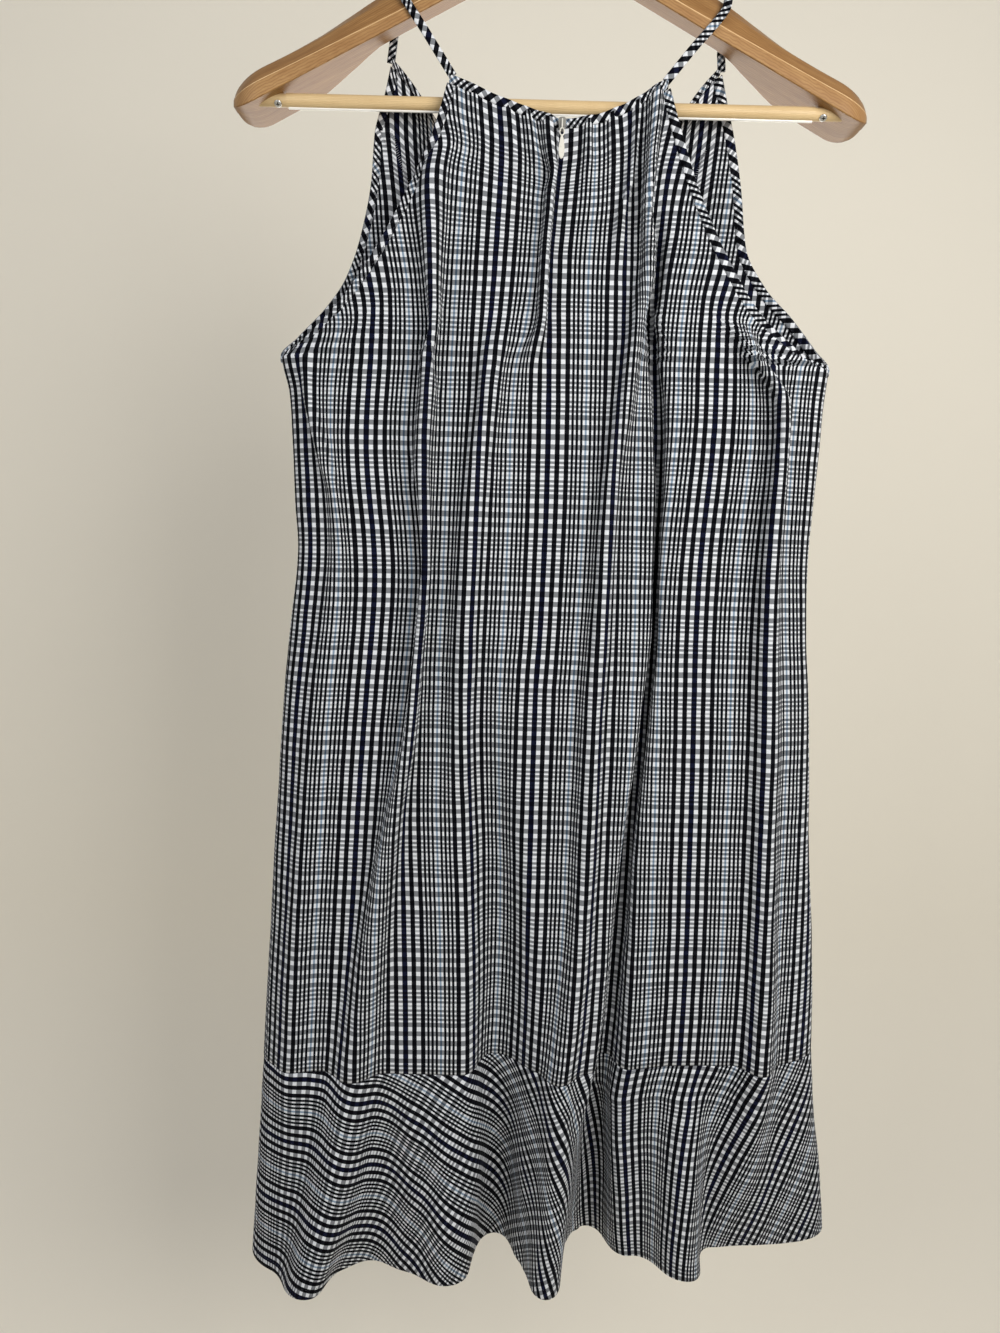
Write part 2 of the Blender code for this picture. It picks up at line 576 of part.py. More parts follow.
def add_panel(name, layer, heights, left_runs, right_runs):
    grid, normals = [], []
    inset = BINDING_WIDTH + ARMHOLE_GAP
    for z in heights:
        left, right = layer.edge(z, False), layer.edge(z, True)
        sink_left = sink_right = 0.0
        if z >= ARMPIT_Z:
            across, sink_left = (v * inset for v in layer.inward(z, False))
            left += across
            across, sink_right = (v * inset for v in layer.inward(z, True))
            right += across
        flat = lay_columns(left_runs, right_runs, left, right)
        points, faces_out = layer.row(flat, z)
        leave_seam(points, faces_out, not left_runs, not right_runs)
        below_neck = max(0.0, 1.0 - (layer.top - z) / NECK_INSET_FADE)
        points[:, 2] -= (BINDING_WIDTH + NECK_GAP * layer.neck_stretch(points[:, 0])) * below_neck
        shares = flat / np.where(flat < 0, abs(left), right)
        sink = np.where(shares < 0, sink_left, sink_right)
        sink = sink * ease((np.abs(shares) - SINK_FROM) / (1 - SINK_FROM))
        if z != layer.top:
            points[:, 2] += sink
        if z < ARMPIT_Z:
            if left_runs:
                points[0, 1] += layer.side * SEAM_GAP / 2
            if right_runs:
                points[-1, 1] += layer.side * SEAM_GAP / 2
        if z == SEAM_Z:
            points[:, 2] += SEAM_GAP / 2
        grid.append(points)
        normals.append(faces_out)
    return add_wall(name, np.array(grid), np.array(normals), WALL, "check_cloth")


def add_flounce(name, layer, seam_layer, rows, columns):
    """A circular flounce. Each row's points hang from the row above, at the cloth's own length."""
    shares = np.linspace(-1, 1, columns)
    drops = np.linspace(0, -FLOUNCE_DEPTH, rows)
    grid, normals = [], []
    for drop in drops:
        flat = np.where(shares < 0, -shares * layer.edge(drop, False), shares * layer.edge(drop, True))
        points, faces_out = layer.row(flat, drop)
        if not grid:
            seam_points, _ = seam_layer.row(flat, SEAM_Z)
            points[:, 2] = seam_points[:, 2] - SEAM_GAP / 2
        else:
            above = grid[-1]
            moved = np.hypot(points[:, 0] - above[:, 0], points[:, 1] - above[:, 1])
            length = abs(drops[1] - drops[0])
            points[:, 2] = above[:, 2] - np.sqrt(np.maximum(length ** 2 - moved ** 2, (0.5 * length) ** 2))
        grid.append(points)
        normals.append(faces_out)
    grid = np.array(grid)
    grid[:, 0, 1] += layer.side * SEAM_GAP / 2
    grid[:, -1, 1] += layer.side * SEAM_GAP / 2
    return add_wall(name, grid, np.array(normals), WALL, "check_cloth")


def add_neck_binding(name, layer, left_runs, right_runs):
    """A band along the neck edge, between the edge and the panel."""
    flat = lay_columns(left_runs, right_runs, layer.edge(layer.top, False), layer.edge(layer.top, True))
    points, faces_out = layer.row(flat, layer.top)
    leave_seam(points, faces_out, not left_runs, not right_runs)
    lower = points - np.array([0, 0, BINDING_WIDTH])
    return add_wall(name, np.array([points, lower]), np.array([faces_out, faces_out]),
                    BINDING_WALL, "binding_cloth")


ARMHOLE_START = 5.5


def armhole_heights(layer, heights):
    """The panel's own row heights beside the armhole, so that both edges run side by side."""
    start = layer.top - ARMHOLE_START
    return [start] + [z for z in heights if ARMPIT_Z <= z < start]


def add_armhole_binding(name, back, front, right):
    """A band down the back's armhole edge, round the underarm and up the front's."""
    edge, inner, normals = [], [], []
    runs = [(back, armhole_heights(back, BACK_HEIGHTS)),
            (front, armhole_heights(front, FRONT_HEIGHTS)[-2::-1])]
    for layer, heights in runs:
        for z in heights:
            point, faces_out = layer.armhole_point(z, right, 0.0)
            inset, _ = layer.armhole_point(z, right, BINDING_WIDTH)
            edge.append(point)
            inner.append(inset)
            normals.append(faces_out)
    return add_wall(name, np.array([edge, inner]), np.array([normals, normals]),
                    BINDING_WALL, "binding_cloth")


def hanger_read(name, x):
    return table_read(HANGER_SECTIONS, name, abs(x))


def hanger_section(x):
    """The wood's outline across an arm, eight points round, drawn in toward its rounded end."""
    under, ridge, crest = (hanger_read(n, x) for n in ("under", "ridge", "crest"))
    front, rear = hanger_read("front", x), hanger_read("rear", x)
    crest_y = front + 0.42 * (rear - front)
    rise = crest - ridge
    outline = [(front, under), (front, ridge), (front + 0.16 * (rear - front), ridge + 0.62 * rise),
               (crest_y, crest), (rear - 0.22 * (rear - front), crest - 0.12 * rise),
               (rear, ridge + 0.35 * rise), (rear, under + 2.5), (rear - 2.0, under)]
    over = max(0.0, abs(x) - HANGER_END_START) / (HANGER_HALF - HANGER_END_START + 0.6)
    shrink = math.sqrt(max(0.0, 1 - over * over))
    middle_y, middle_z = (front + rear) / 2, (under + crest) / 2 + 2.0
    return [(x, middle_y + (y - middle_y) * shrink, middle_z + (z - middle_z) * shrink) for y, z in outline]


def add_hanger_wood():
    stations = [0, 8, 20, 50, 80, 115, 128, 140, 152, 165, 180, 192, 200, 207, 213, 218, 221, HANGER_HALF]
    xs = [-x for x in reversed(stations[1:])] + stations
    sections = [hanger_section(x) for x in xs]
    points = [p for section in sections for p in section]
    sides = len(sections[0])
    faces = []
    for j in range(len(sections) - 1):
        for i in range(sides):
            k = (i + 1) % sides
            faces.append((j * sides + i, j * sides + k, (j + 1) * sides + k, (j + 1) * sides + i))
    faces.append(tuple(range(sides)))
    faces.append(tuple((len(sections) - 1) * sides + i for i in range(sides)))
    return add_object("hanger_wood", points, faces, "beech_wood")


def add_bar():
    """A dowel with a thin sleeve between its shoulders, its ends cut to the wood's underside."""
    sides = 20
    rings = [(-1, None, BAR_RADIUS), (-1, BAR_SHOULDER, BAR_RADIUS),
             (-1, BAR_SHOULDER - 1.0, BAR_RADIUS + BAR_SLEEVE_WALL),
             (1, BAR_SHOULDER - 1.0, BAR_RADIUS + BAR_SLEEVE_WALL),
             (1, BAR_SHOULDER, BAR_RADIUS), (1, None, BAR_RADIUS)]
    points = []
    for hand, x, radius in rings:
        for i in range(sides):
            turn = 2 * math.pi * i / sides
            y, z = radius * math.cos(turn), BAR_Z + radius * math.sin(turn)
            reach = UNDER_TIP_X + (UNDER_AT_TIP - z) / UNDER_SLOPE if x is None else x
            points.append((hand * max(reach, BAR_SHOULDER + 0.5 if x is None else x), y, z))
    faces = [tuple(range(sides)), tuple((len(rings) - 1) * sides + i for i in range(sides))]
    for j in range(len(rings) - 1):
        for i in range(sides):
            k = (i + 1) % sides
            faces.append((j * sides + i, j * sides + k, (j + 1) * sides + k, (j + 1) * sides + i))
    return add_object("trouser_bar", points, faces, "pale_dowel")


def add_disc(name, centre, radius, thickness, sides, material):
    """A short round head that faces the back of the dress."""
    points = []
    for y in (centre[1], centre[1] - thickness):
        for i in range(sides):
            turn = 2 * math.pi * i / sides
            points.append((centre[0] + radius * math.cos(turn), y, centre[2] + radius * math.sin(turn)))
    faces = [tuple(range(sides)), tuple(range(sides, 2 * sides))]
    faces += [(i, (i + 1) % sides, sides + (i + 1) % sides, sides + i) for i in range(sides)]
    return add_object(name, points, faces, material)


def hook_path():
    """Centre line of the hook: a shank, a sweep to the left and a turn over the top."""
    middle = -HOOK_RADIUS
    reach = HOOK_RADIUS + HOOK_WIRE
    path = [(0.0, -62.4), (0.0, -52.0), (-1.0, -46.0)]
    for degrees in range(232, -50, -12):
        turn = math.radians(degrees)
        path.append((reach * math.cos(turn), middle + reach * math.sin(turn)))
    return path


def add_hook():
    curve = bpy.data.curves.new("hanger_hook", "CURVE")
    curve.dimensions = "3D"
    curve.bevel_depth = HOOK_WIRE * MM
    curve.bevel_resolution = 2
    curve.use_fill_caps = True
    path = hook_path()
    spline = curve.splines.new("POLY")
    spline.points.add(len(path) - 1)
    for point, (x, z) in zip(spline.points, path):
        point.co = (x * MM, 0.0, z * MM, 1.0)
    curve.materials.append(make_material("bright_metal"))
    obj = bpy.data.objects.new("hanger_hook", curve)
    bpy.context.collection.objects.link(obj)
    return obj


# Strap routes from the back's corner over the arm to the front's corner, and the direction of
# the strap's width at both ends
STRAP_ROUTES = {
    "strap_left": ([(-71.5, -13, -171.5), (-85, -12.6, -151.5), (-97.5, -12, -133.5),
                    (-102.5, -11.2, -126), (-104.5, -7.0, -115.0), (-105.5, -1.0, -111.8),
                    (-106.5, 6.0, -113.5), (-107.5, 9.8, -119.5), (-109.5, 11.5, -132),
                    (-111, 12.6, -144), (-112, 13, -151.5)],
                   (0.84, 0, 0.54), (1.0, 0, 0.05)),
    "strap_right": ([(82, -13, -172), (96, -12.6, -154.5), (109, -12, -139.5),
                     (116, -11.4, -130), (118.5, -7.5, -121.5), (119.5, -1.0, -118.6),
                     (120.0, 6.0, -120.5), (120.0, 10.4, -127), (119.5, 11.6, -136),
                     (119, 12.6, -146), (119.5, 13, -151.5)],
                    (0.77, 0, -0.64), (1.0, 0, -0.05)),
}
STRAP_STEPS = 34


def smooth_route(points, count):
    """Evenly placed points on a smooth curve through the route's own points."""
    points = np.array(points, float)
    ends = np.vstack([2 * points[0] - points[1], points, 2 * points[-1] - points[-2]])
    dense = []
    for i in range(1, len(ends) - 2):
        for t in np.linspace(0, 1, 12, endpoint=False):
            a, b, c, d = ends[i - 1], ends[i], ends[i + 1], ends[i + 2]
            dense.append(0.5 * (2 * b + (c - a) * t + (2 * a - 5 * b + 4 * c - d) * t * t
                                + (3 * b - a - 3 * c + d) * t ** 3))
    dense.append(points[-1])
    dense = np.array(dense)
    far = np.concatenate([[0], np.cumsum(np.linalg.norm(np.diff(dense, axis=0), axis=1))])
    wanted = np.linspace(0, far[-1], count)
    return np.stack([np.interp(wanted, far, dense[:, k]) for k in range(3)], axis=-1)


def add_strap(name):
    """A flat tube of cloth over the hanger's arm, from corner to corner."""
    route, width_start, width_end = STRAP_ROUTES[name]
    line = smooth_route(route, STRAP_STEPS)
    along = np.gradient(line, axis=0)
    along /= np.linalg.norm(along, axis=1)[:, None]
    share = np.linspace(0, 1, STRAP_STEPS)[:, None]
    width = np.array(width_start) * (1 - share) + np.array(width_end) * share
    width -= along * np.sum(width * along, axis=1)[:, None]
    width /= np.linalg.norm(width, axis=1)[:, None]
    out = np.cross(width, along)
    half = width * STRAP_WIDTH / 2
    grid = np.array([line - half, line, line + half])
    return add_wall(name, grid, np.array([out, out, out]), STRAP_WALL, "binding_cloth")


# Zip sizes
SLIDER_TOP = -204.5
SLIDER_HEIGHT = 9.5
SLIDER_WIDTH = 5.0
SLIDER_DEPTH = 2.6
PULL_LENGTH = 20.0
PULL_WIDTH = 4.8
PULL_WALL = 1.3
PULL_PIN_DROP = 8.2
PULL_TOP = 0.5


def zip_place(back):
    """Where the zip comes out at the neck, just clear of the cloth that is nearest the front of it."""
    middle, _ = back.row(np.array([0.0]), back.top)
    nearest = 0.0
    for z in BACK_HEIGHTS[:4]:
        points, _ = back.row(np.linspace(-6, 6, 9), z)
        beside = np.abs(points[:, 0] - middle[0][0]) < SLIDER_WIDTH
        nearest = min(nearest, float(points[beside, 1].min()))
    return float(middle[0][0]), nearest - BINDING_WALL / 2 - SEAM_GAP


def add_slider(x, y):
    """The slider's body: a small wedge, wider at the top, that faces the back."""
    half, top, bottom = SLIDER_WIDTH / 2, SLIDER_TOP, SLIDER_TOP - SLIDER_HEIGHT
    outline = [(-half, top), (half, top), (half, top - 4.0), (0.6 * half, bottom), (-0.6 * half, bottom),
               (-half, top - 4.0)]
    points = [(x + px, y, pz) for px, pz in outline]
    points += [(x + 0.8 * px, y - SLIDER_DEPTH, pz * 0.9 + 0.1 * (top + bottom) / 2) for px, pz in outline]
    count = len(outline)
    faces = [tuple(range(count)), tuple(range(count, 2 * count))]
    faces += [(i, (i + 1) % count, count + (i + 1) % count, count + i) for i in range(count)]
    return add_object("zip_slider", points, faces, "bright_metal", smooth=False)


def add_pull(x, y, pin_z):
    """The pull tab, a teardrop that hangs from the slider. Its origin is on its pin."""
    outline = []
    count = 20
    for i in range(count):
        turn = 2 * math.pi * i / count
        down = (1 - math.cos(turn)) / 2
        wide = math.sin(turn) * PULL_WIDTH / 2 * (0.45 + 0.75 * down ** 0.8)
        outline.append((wide, PULL_TOP - down * PULL_LENGTH))
    points = [(px, PULL_WALL / 2, pz) for px, pz in outline]
    points += [(px, -PULL_WALL / 2, pz) for px, pz in outline]
    faces = [tuple(range(count)), tuple(range(count, 2 * count))]
    faces += [(i, (i + 1) % count, count + (i + 1) % count, count + i) for i in range(count)]
    pull = add_object("zip_pull", points, faces, "ivory_enamel", smooth=False)
    pull.location = Vector((x, y, pin_z)) * MM
    return pull


def build():
    clear_scene()
    back = Layer(BACK_SIDE, BACK_OUTLINE, BACK_FOLDS, BACK_GATHERS, BACK_NECK, BACK_NECK_FADE)
    front = Layer(FRONT_SIDE, FRONT_OUTLINE, FRONT_FOLDS, FRONT_GATHERS, FRONT_NECK, FRONT_NECK_FADE)
    back_hem = flounce_layer(back, BACK_FLOUNCE, BACK_FLOUNCE_FOLDS)
    front_hem = flounce_layer(front, FRONT_FLOUNCE, FRONT_FLOUNCE_FOLDS)

    add_panel("back_left", back, BACK_HEIGHTS, BACK_LEFT_COLUMNS, None)
    add_panel("back_right", back, BACK_HEIGHTS, None, BACK_RIGHT_COLUMNS)
    add_panel("front", front, FRONT_HEIGHTS, FRONT_COLUMNS, FRONT_COLUMNS)
    add_flounce("back_flounce", back_hem, back, FLOUNCE_ROWS, BACK_FLOUNCE_COLUMNS)
    add_flounce("front_flounce", front_hem, front, FLOUNCE_ROWS, FRONT_FLOUNCE_COLUMNS)
    add_neck_binding("neck_binding_back_left", back, BACK_LEFT_COLUMNS, None)
    add_neck_binding("neck_binding_back_right", back, None, BACK_RIGHT_COLUMNS)
    add_neck_binding("neck_binding_front", front, FRONT_COLUMNS, FRONT_COLUMNS)
    add_armhole_binding("armhole_binding_left", back, front, False)
    add_armhole_binding("armhole_binding_right", back, front, True)
    for name in STRAP_ROUTES:
        add_strap(name)

    add_hanger_wood()
    add_bar()
    add_hook()
    for name, hand in (("bar_screw_left", -1), ("bar_screw_right", 1)):
        add_disc(name, (hand * SCREW_X, -BAR_RADIUS - SEAM_GAP, BAR_Z - 1.6), 2.6, 0.9, 12, "bright_metal")

    slider_x, slider_y = zip_place(back)
    add_slider(slider_x, slider_y)
    pull_y = slider_y - SLIDER_DEPTH - SEAM_GAP - PULL_WALL / 2
    add_pull(slider_x, pull_y, SLIDER_TOP - PULL_PIN_DROP)


build()
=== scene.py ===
# %% [markdown]
# # A checked sundress on its wooden hanger
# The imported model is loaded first: its solids say where every piece is and how big. This script
# then gives each piece its finished surface. The dress hangs with its back toward the camera, in
# the hanger's own frame: the origin is the inner top of the hook, +Z is up, and lengths in the
# tables are millimetres of cloth or of wood, as a dressmaker or a turner would state them.

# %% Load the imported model
import math

import bpy
import numpy as np
from mathutils import Matrix, Vector, noise


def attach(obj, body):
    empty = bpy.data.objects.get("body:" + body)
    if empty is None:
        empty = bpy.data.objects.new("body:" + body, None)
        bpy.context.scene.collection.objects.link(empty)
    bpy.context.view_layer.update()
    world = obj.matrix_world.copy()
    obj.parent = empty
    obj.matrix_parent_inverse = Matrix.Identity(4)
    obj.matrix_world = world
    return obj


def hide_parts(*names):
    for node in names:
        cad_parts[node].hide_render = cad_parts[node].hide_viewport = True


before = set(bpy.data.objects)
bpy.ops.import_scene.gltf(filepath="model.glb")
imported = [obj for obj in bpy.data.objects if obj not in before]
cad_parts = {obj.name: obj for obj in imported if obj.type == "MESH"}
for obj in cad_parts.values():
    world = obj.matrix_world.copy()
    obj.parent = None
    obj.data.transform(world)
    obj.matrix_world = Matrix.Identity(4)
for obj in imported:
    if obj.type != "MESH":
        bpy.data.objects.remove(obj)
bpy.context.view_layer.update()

MM = 0.001
ROOT = "dress_on_hanger"
PULL = "pull_tab"

# %% [markdown]
# ## The camera
# The photograph was taken from close by, a little left of the dress and at the height of its
# middle, with the camera tipped down by 7 degrees and turned by 1.5. A short distance makes near
# parts look bigger, so the place matters as much as the angle. The lens is stated by how many
# pixels wide a thing as long as its distance would look.

# %% Place the camera
EYE = (-25.0, -739.0, -491.0)
PITCH_DOWN = math.radians(7.1)
TURNED = math.radians(1.5)
FOCAL_PIXELS = 1001.0
PHOTO_HEIGHT = 1333
SENSOR = 36.0


def camera_axes(pitch, turned):
    """Right, up and backward directions of a camera that looks along +Y, tipped down, then turned."""
    c, s = math.cos(turned), math.sin(turned)
    right = Vector((c, s * math.sin(pitch), s * math.cos(pitch)))
    up = Vector((-s, c * math.sin(pitch), c * math.cos(pitch)))
    return right, up, right.cross(up)


def add_camera():
    data = bpy.data.cameras.new("photo_camera")
    data.sensor_width = SENSOR
    data.lens = SENSOR * FOCAL_PIXELS / PHOTO_HEIGHT
    data.clip_start = 0.02
    data.dof.use_dof = False
    camera = bpy.data.objects.new("photo_camera", data)
    right, up, back = camera_axes(PITCH_DOWN, TURNED)
    turn = Matrix((right, up, back)).transposed().to_4x4()
    camera.matrix_world = Matrix.Translation(Vector(EYE) * MM) @ turn
    bpy.context.collection.objects.link(camera)
    bpy.context.scene.camera = camera
    return camera


camera = add_camera()
print("camera lens %.2f mm" % camera.data.lens)

# %% [markdown]
# ## Nodes in a few words
# Every finish below is a small graph of shader nodes. In the node editor each would be a handful of
# boxes and wires. Written out in full it would be pages, so these helpers make a material, add a
# node and join its sockets, and each finish can be read as a short recipe.

# %% Helpers for materials


def new_material(name, roughness=0.6, metallic=0.0, colour=(0.8, 0.8, 0.8), **more):
    """A material with its shader. more are other inputs of the shader, with _ for a space."""
    material = bpy.data.materials.new(name)
    material.use_nodes = True
    shader = material.node_tree.nodes["Principled BSDF"]
    shader.inputs["Base Color"].default_value = (*colour, 1.0)
    for key, value in {"Roughness": roughness, "Metallic": metallic, **more}.items():
        shader.inputs[key.replace("_", " ")].default_value = value
    return material, material.node_tree, shader


def plug(tree, socket, value):
    """Joins another node's output to a socket, or sets the socket to a value."""
    if isinstance(value, bpy.types.NodeSocket):
        tree.links.new(value, socket)
    else:
        socket.default_value = value


def add_node(tree, kind, settings=(), **inputs):
    """A node with settings as (name, value) pairs. An input is a number or another node's output."""
    node = tree.nodes.new(kind)
    for name, value in settings:
        setattr(node, name, value)
    for key, value in inputs.items():
        plug(tree, node.inputs[int(key[1:]) if key[0] == "i" and key[1:].isdigit() else key], value)
    return node


def math_node(tree, operation, a, b=0.0, clamp=False):
    node = add_node(tree, "ShaderNodeMath", [("operation", operation), ("use_clamp", clamp)], i0=a, i1=b)
    return node.outputs[0]


def ramp_node(tree, factor, stops, constant=False):
    """A colour ramp from (place, colour) stops."""
    node = add_node(tree, "ShaderNodeValToRGB", i0=factor)
    ramp = node.color_ramp
    ramp.interpolation = "CONSTANT" if constant else "LINEAR"
    while len(ramp.elements) < len(stops):
        ramp.elements.new(0.5)
    for element, (place, colour) in zip(ramp.elements, stops):
        element.position = place
        element.color = (*colour, 1.0)
    return node.outputs["Color"]


def mix_colours(tree, factor, a, b, blend="MIX"):
    a, b = (value if isinstance(value, bpy.types.NodeSocket) else (*value, 1.0) for value in (a, b))
    settings = [("data_type", "RGBA"), ("blend_type", blend)]
    return add_node(tree, "ShaderNodeMix", settings, i0=factor, i6=a, i7=b).outputs[2]


def map_range(tree, value, *limits):
    """Carries a value from one range to another. limits are from low, from high, to low, to high."""
    inputs = {"i%d" % (i + 1): limit for i, limit in enumerate(limits)}
    return add_node(tree, "ShaderNodeMapRange", i0=value, **inputs).outputs[0]


def flat_place(tree):
    """Place on the piece's own map, which is its cloth laid flat or its wood unrolled."""
    return add_node(tree, "ShaderNodeUVMap", [("uv_map", "weave")]).outputs["UV"]


def solid_place(tree):
    """Place in the piece's own space, in metres."""
    return add_node(tree, "ShaderNodeTexCoord").outputs["Object"]


def paint(tree, shader, colour):
    tree.links.new(colour, shader.inputs["Base Color"])


def add_bump(tree, shader, height, strength, distance):
    bump = add_node(tree, "ShaderNodeBump", Height=height, Strength=strength, Distance=distance)
    tree.links.new(bump.outputs["Normal"], shader.inputs["Normal"])


print("kinds of shader node:", sum(name.startswith("ShaderNode") for name in dir(bpy.types)))

# %% [markdown]
# ## The studio
# The dress hangs before a plain pale sweep: a floor that curves up into a backdrop, as in a
# photographer's studio. It isn't part of the object. Its rear face is made clear so that it never
# hides the dress from a camera behind it. A plane with one bent edge is all it takes.

# %% Build the pale sweep
FLOOR_Z = -1500.0
SWEEP_Y = 600.0
SWEEP_TOP = 1500.0
SWEEP_FRONT = -3000.0
SWEEP_BEND = 500.0
BEND_STEPS = 16
SWEEP_HALF = 3000.0
PAPER = (0.83, 0.78, 0.665)


def sweep_profile():
    """The floor's front edge, the floor, a quarter turn up and the backdrop's top edge, as (y, z)."""
    profile = [(SWEEP_FRONT, FLOOR_Z)]
    for i in range(BEND_STEPS + 1):
        turn = math.radians(90 * i / BEND_STEPS)
        profile.append((SWEEP_Y - SWEEP_BEND + SWEEP_BEND * math.sin(turn),
                        FLOOR_Z + SWEEP_BEND - SWEEP_BEND * math.cos(turn)))
    profile.append((SWEEP_Y, SWEEP_TOP))
    return profile


def add_sweep():
    profile = sweep_profile()
    verts = [(x * MM, y * MM, z * MM) for x in (-SWEEP_HALF, SWEEP_HALF) for y, z in profile]
    count = len(profile)
    faces = [(i, i + count, i + count + 1, i + 1) for i in range(count - 1)]
    mesh = bpy.data.meshes.new("studio_sweep")
    mesh.from_pydata(verts, [], faces)
    mesh.shade_smooth()
    sweep = bpy.data.objects.new("studio_sweep", mesh)
    bpy.context.collection.objects.link(sweep)
    material, tree, shader = new_material("plain_paper", 0.9, 0.0, PAPER)
    behind = add_node(tree, "ShaderNodeNewGeometry").outputs["Backfacing"]
    clear = add_node(tree, "ShaderNodeBsdfTransparent")
    both = add_node(tree, "ShaderNodeMixShader", i0=behind, i1=shader.outputs[0], i2=clear.outputs[0])
    tree.links.new(both.outputs[0], tree.nodes["Material Output"].inputs["Surface"])
    mesh.materials.append(material)
    return sweep


sweep = add_sweep()
print("sweep faces the camera:", sweep.data.polygons[-1].normal.y < 0)

# %% [markdown]
# ## Soft light
# A wide lamp on the right, level with the neck and quite near, does most of the work. Light falls
# off with distance, so the flounce is dimmer than the bodice. A weaker lamp on the left keeps the
# folds' far sides readable, and a lamp behind the dress, with its back to the paper, does that for
# the hidden side. The world adds a soft light all round, pale above and dimmer below, so
# that the hidden sides of the dress are lit as well.

# %% Light the studio
LAMPS = (("key", (600, -900, -160), 700, 13.6, (1.0, 0.98, 0.95)),
         ("fill", (-900, -1000, -50), 900, 6.6, (0.97, 0.98, 1.0)),
         ("rear", (0, 480, -300), 700, 4.5, (1.0, 0.98, 0.95)))
LAMP_AIM = Vector((0.0, 0.0, -0.3))
WORLD_BELOW = (0.11, 0.11, 0.115)
WORLD_ABOVE = (0.45, 0.455, 0.48)


def add_lamp(name, place, size, power, colour):
    data = bpy.data.lights.new(name, "AREA")
    data.size = size * MM
    data.energy = power
    data.color = colour
    lamp = bpy.data.objects.new(name, data)
    lamp.location = Vector(place) * MM
    lamp.rotation_euler = (LAMP_AIM - lamp.location).to_track_quat("-Z", "Y").to_euler()
    lamp.visible_camera = False
    bpy.context.collection.objects.link(lamp)


def light_world(below, above):
    """A sky that brightens from straight down to straight up."""
    world = bpy.data.worlds.new("soft_light")
    world.use_nodes = True
    tree = world.node_tree
    way = add_node(tree, "ShaderNodeTexCoord").outputs["Generated"]
    height = add_node(tree, "ShaderNodeSeparateXYZ", i0=way).outputs["Z"]
    share = map_range(tree, height, -1.0, 1.0)
    colour = ramp_node(tree, share, [(0.0, below), (1.0, above)])
    tree.links.new(colour, tree.nodes["Background"].inputs["Color"])
    bpy.context.scene.world = world


for lamp in LAMPS:
    add_lamp(*lamp)
light_world(WORLD_BELOW, WORLD_ABOVE)
bpy.context.scene.view_settings.view_transform = "Standard"
print("lamps:", [name for name, *_ in LAMPS])

# %% [markdown]
# ## How the cloth hangs
# A dress on a hanger is two layers of cloth, a back and a front. A cloth simulation could hang them,
# but it would not stop at the photographed folds. So each layer is written down as a maker would
# chalk it: for each height, where the edges and the middle hang, how far they stand out, and how
# much flat cloth lies between them. These are the sizes that the solids were made from.

# %% State the sizes of the cloth
BINDING_WIDTH = 6.0
BINDING_WALL = 2.0
ARMPIT_Z = -362.0
SEAM_Z = -887.0
FLOUNCE_DEPTH = 172.0
FLOUNCE_RADIUS = 500.0
BACK_SIDE = -1
FRONT_SIDE = 1

OUTLINE_COLUMNS = ("z", "left", "centre", "right", "flat_left", "flat_right",
                   "out_left", "out_right", "turn", "run_left", "run_right")

# One row a height: where the left edge, the middle and the right edge hang (x), how much cloth
# lies left and right of the middle (flat), how far the edges stand out from the bar's plane,
# how steeply the cloth turns round the sides (degrees) and over what runs of cloth.
BACK_OUTLINE = (OUTLINE_COLUMNS, [
    (-176, -70, 7.5, 79, -88, 92, 13, 13, 0, 8, 8),
    (-201, -77, 7.5, 87, -97, 104, 13, 13, 0, 8, 8),
    (-219, -83, 6.5, 93, -108, 114, 13, 13, 0, 8, 8),
    (-259, -102, 4.5, 109, -130, 138, 13, 13, 0, 8, 8),
    (-296, -123, 3, 129, -157, 161, 12, 12, 0, 8, 8),
    (-326, -145, 3, 150, -185, 190, 10, 10, 15, 8, 8),
    (-345, -163, 3.5, 172, -207, 222, 7, 7, 40, 9, 9),
    (-355, -175, 3.7, 187, -219, 243, 4, 4, 62, 9, 9),
    (ARMPIT_Z, -187, 3.9, 204, -231, 268, 0, 0, 90, 9, 9),
    (-390, -181, 4.5, 202, -231, 269, 0, 0, 90, 10, 10),
    (-424, -179, 4.9, 201, -231, 269, 0, 0, 90, 11, 11),
    (-468, -177, 5, 199, -232, 268, 0, 0, 90, 12, 12),
    (-497, -175, 4.6, 198, -232, 267, 0, 0, 90, 12, 12),
    (-552, -180, 3.4, 200, -233, 266, 0, 0, 90, 13, 13),
    (-605, -185, 1.2, 205, -234, 267, 0, 0, 90, 15, 14),
    (-728, -193, 0.8, 214, -238, 274, -2, -1, 90, 19, 15),
    (-835, -199, 1.6, 223, -241, 283, -4, -2, 90, 23, 16),
    (SEAM_Z, -202, 1, 225, -243, 287, -5, -2, 90, 25, 17),
])

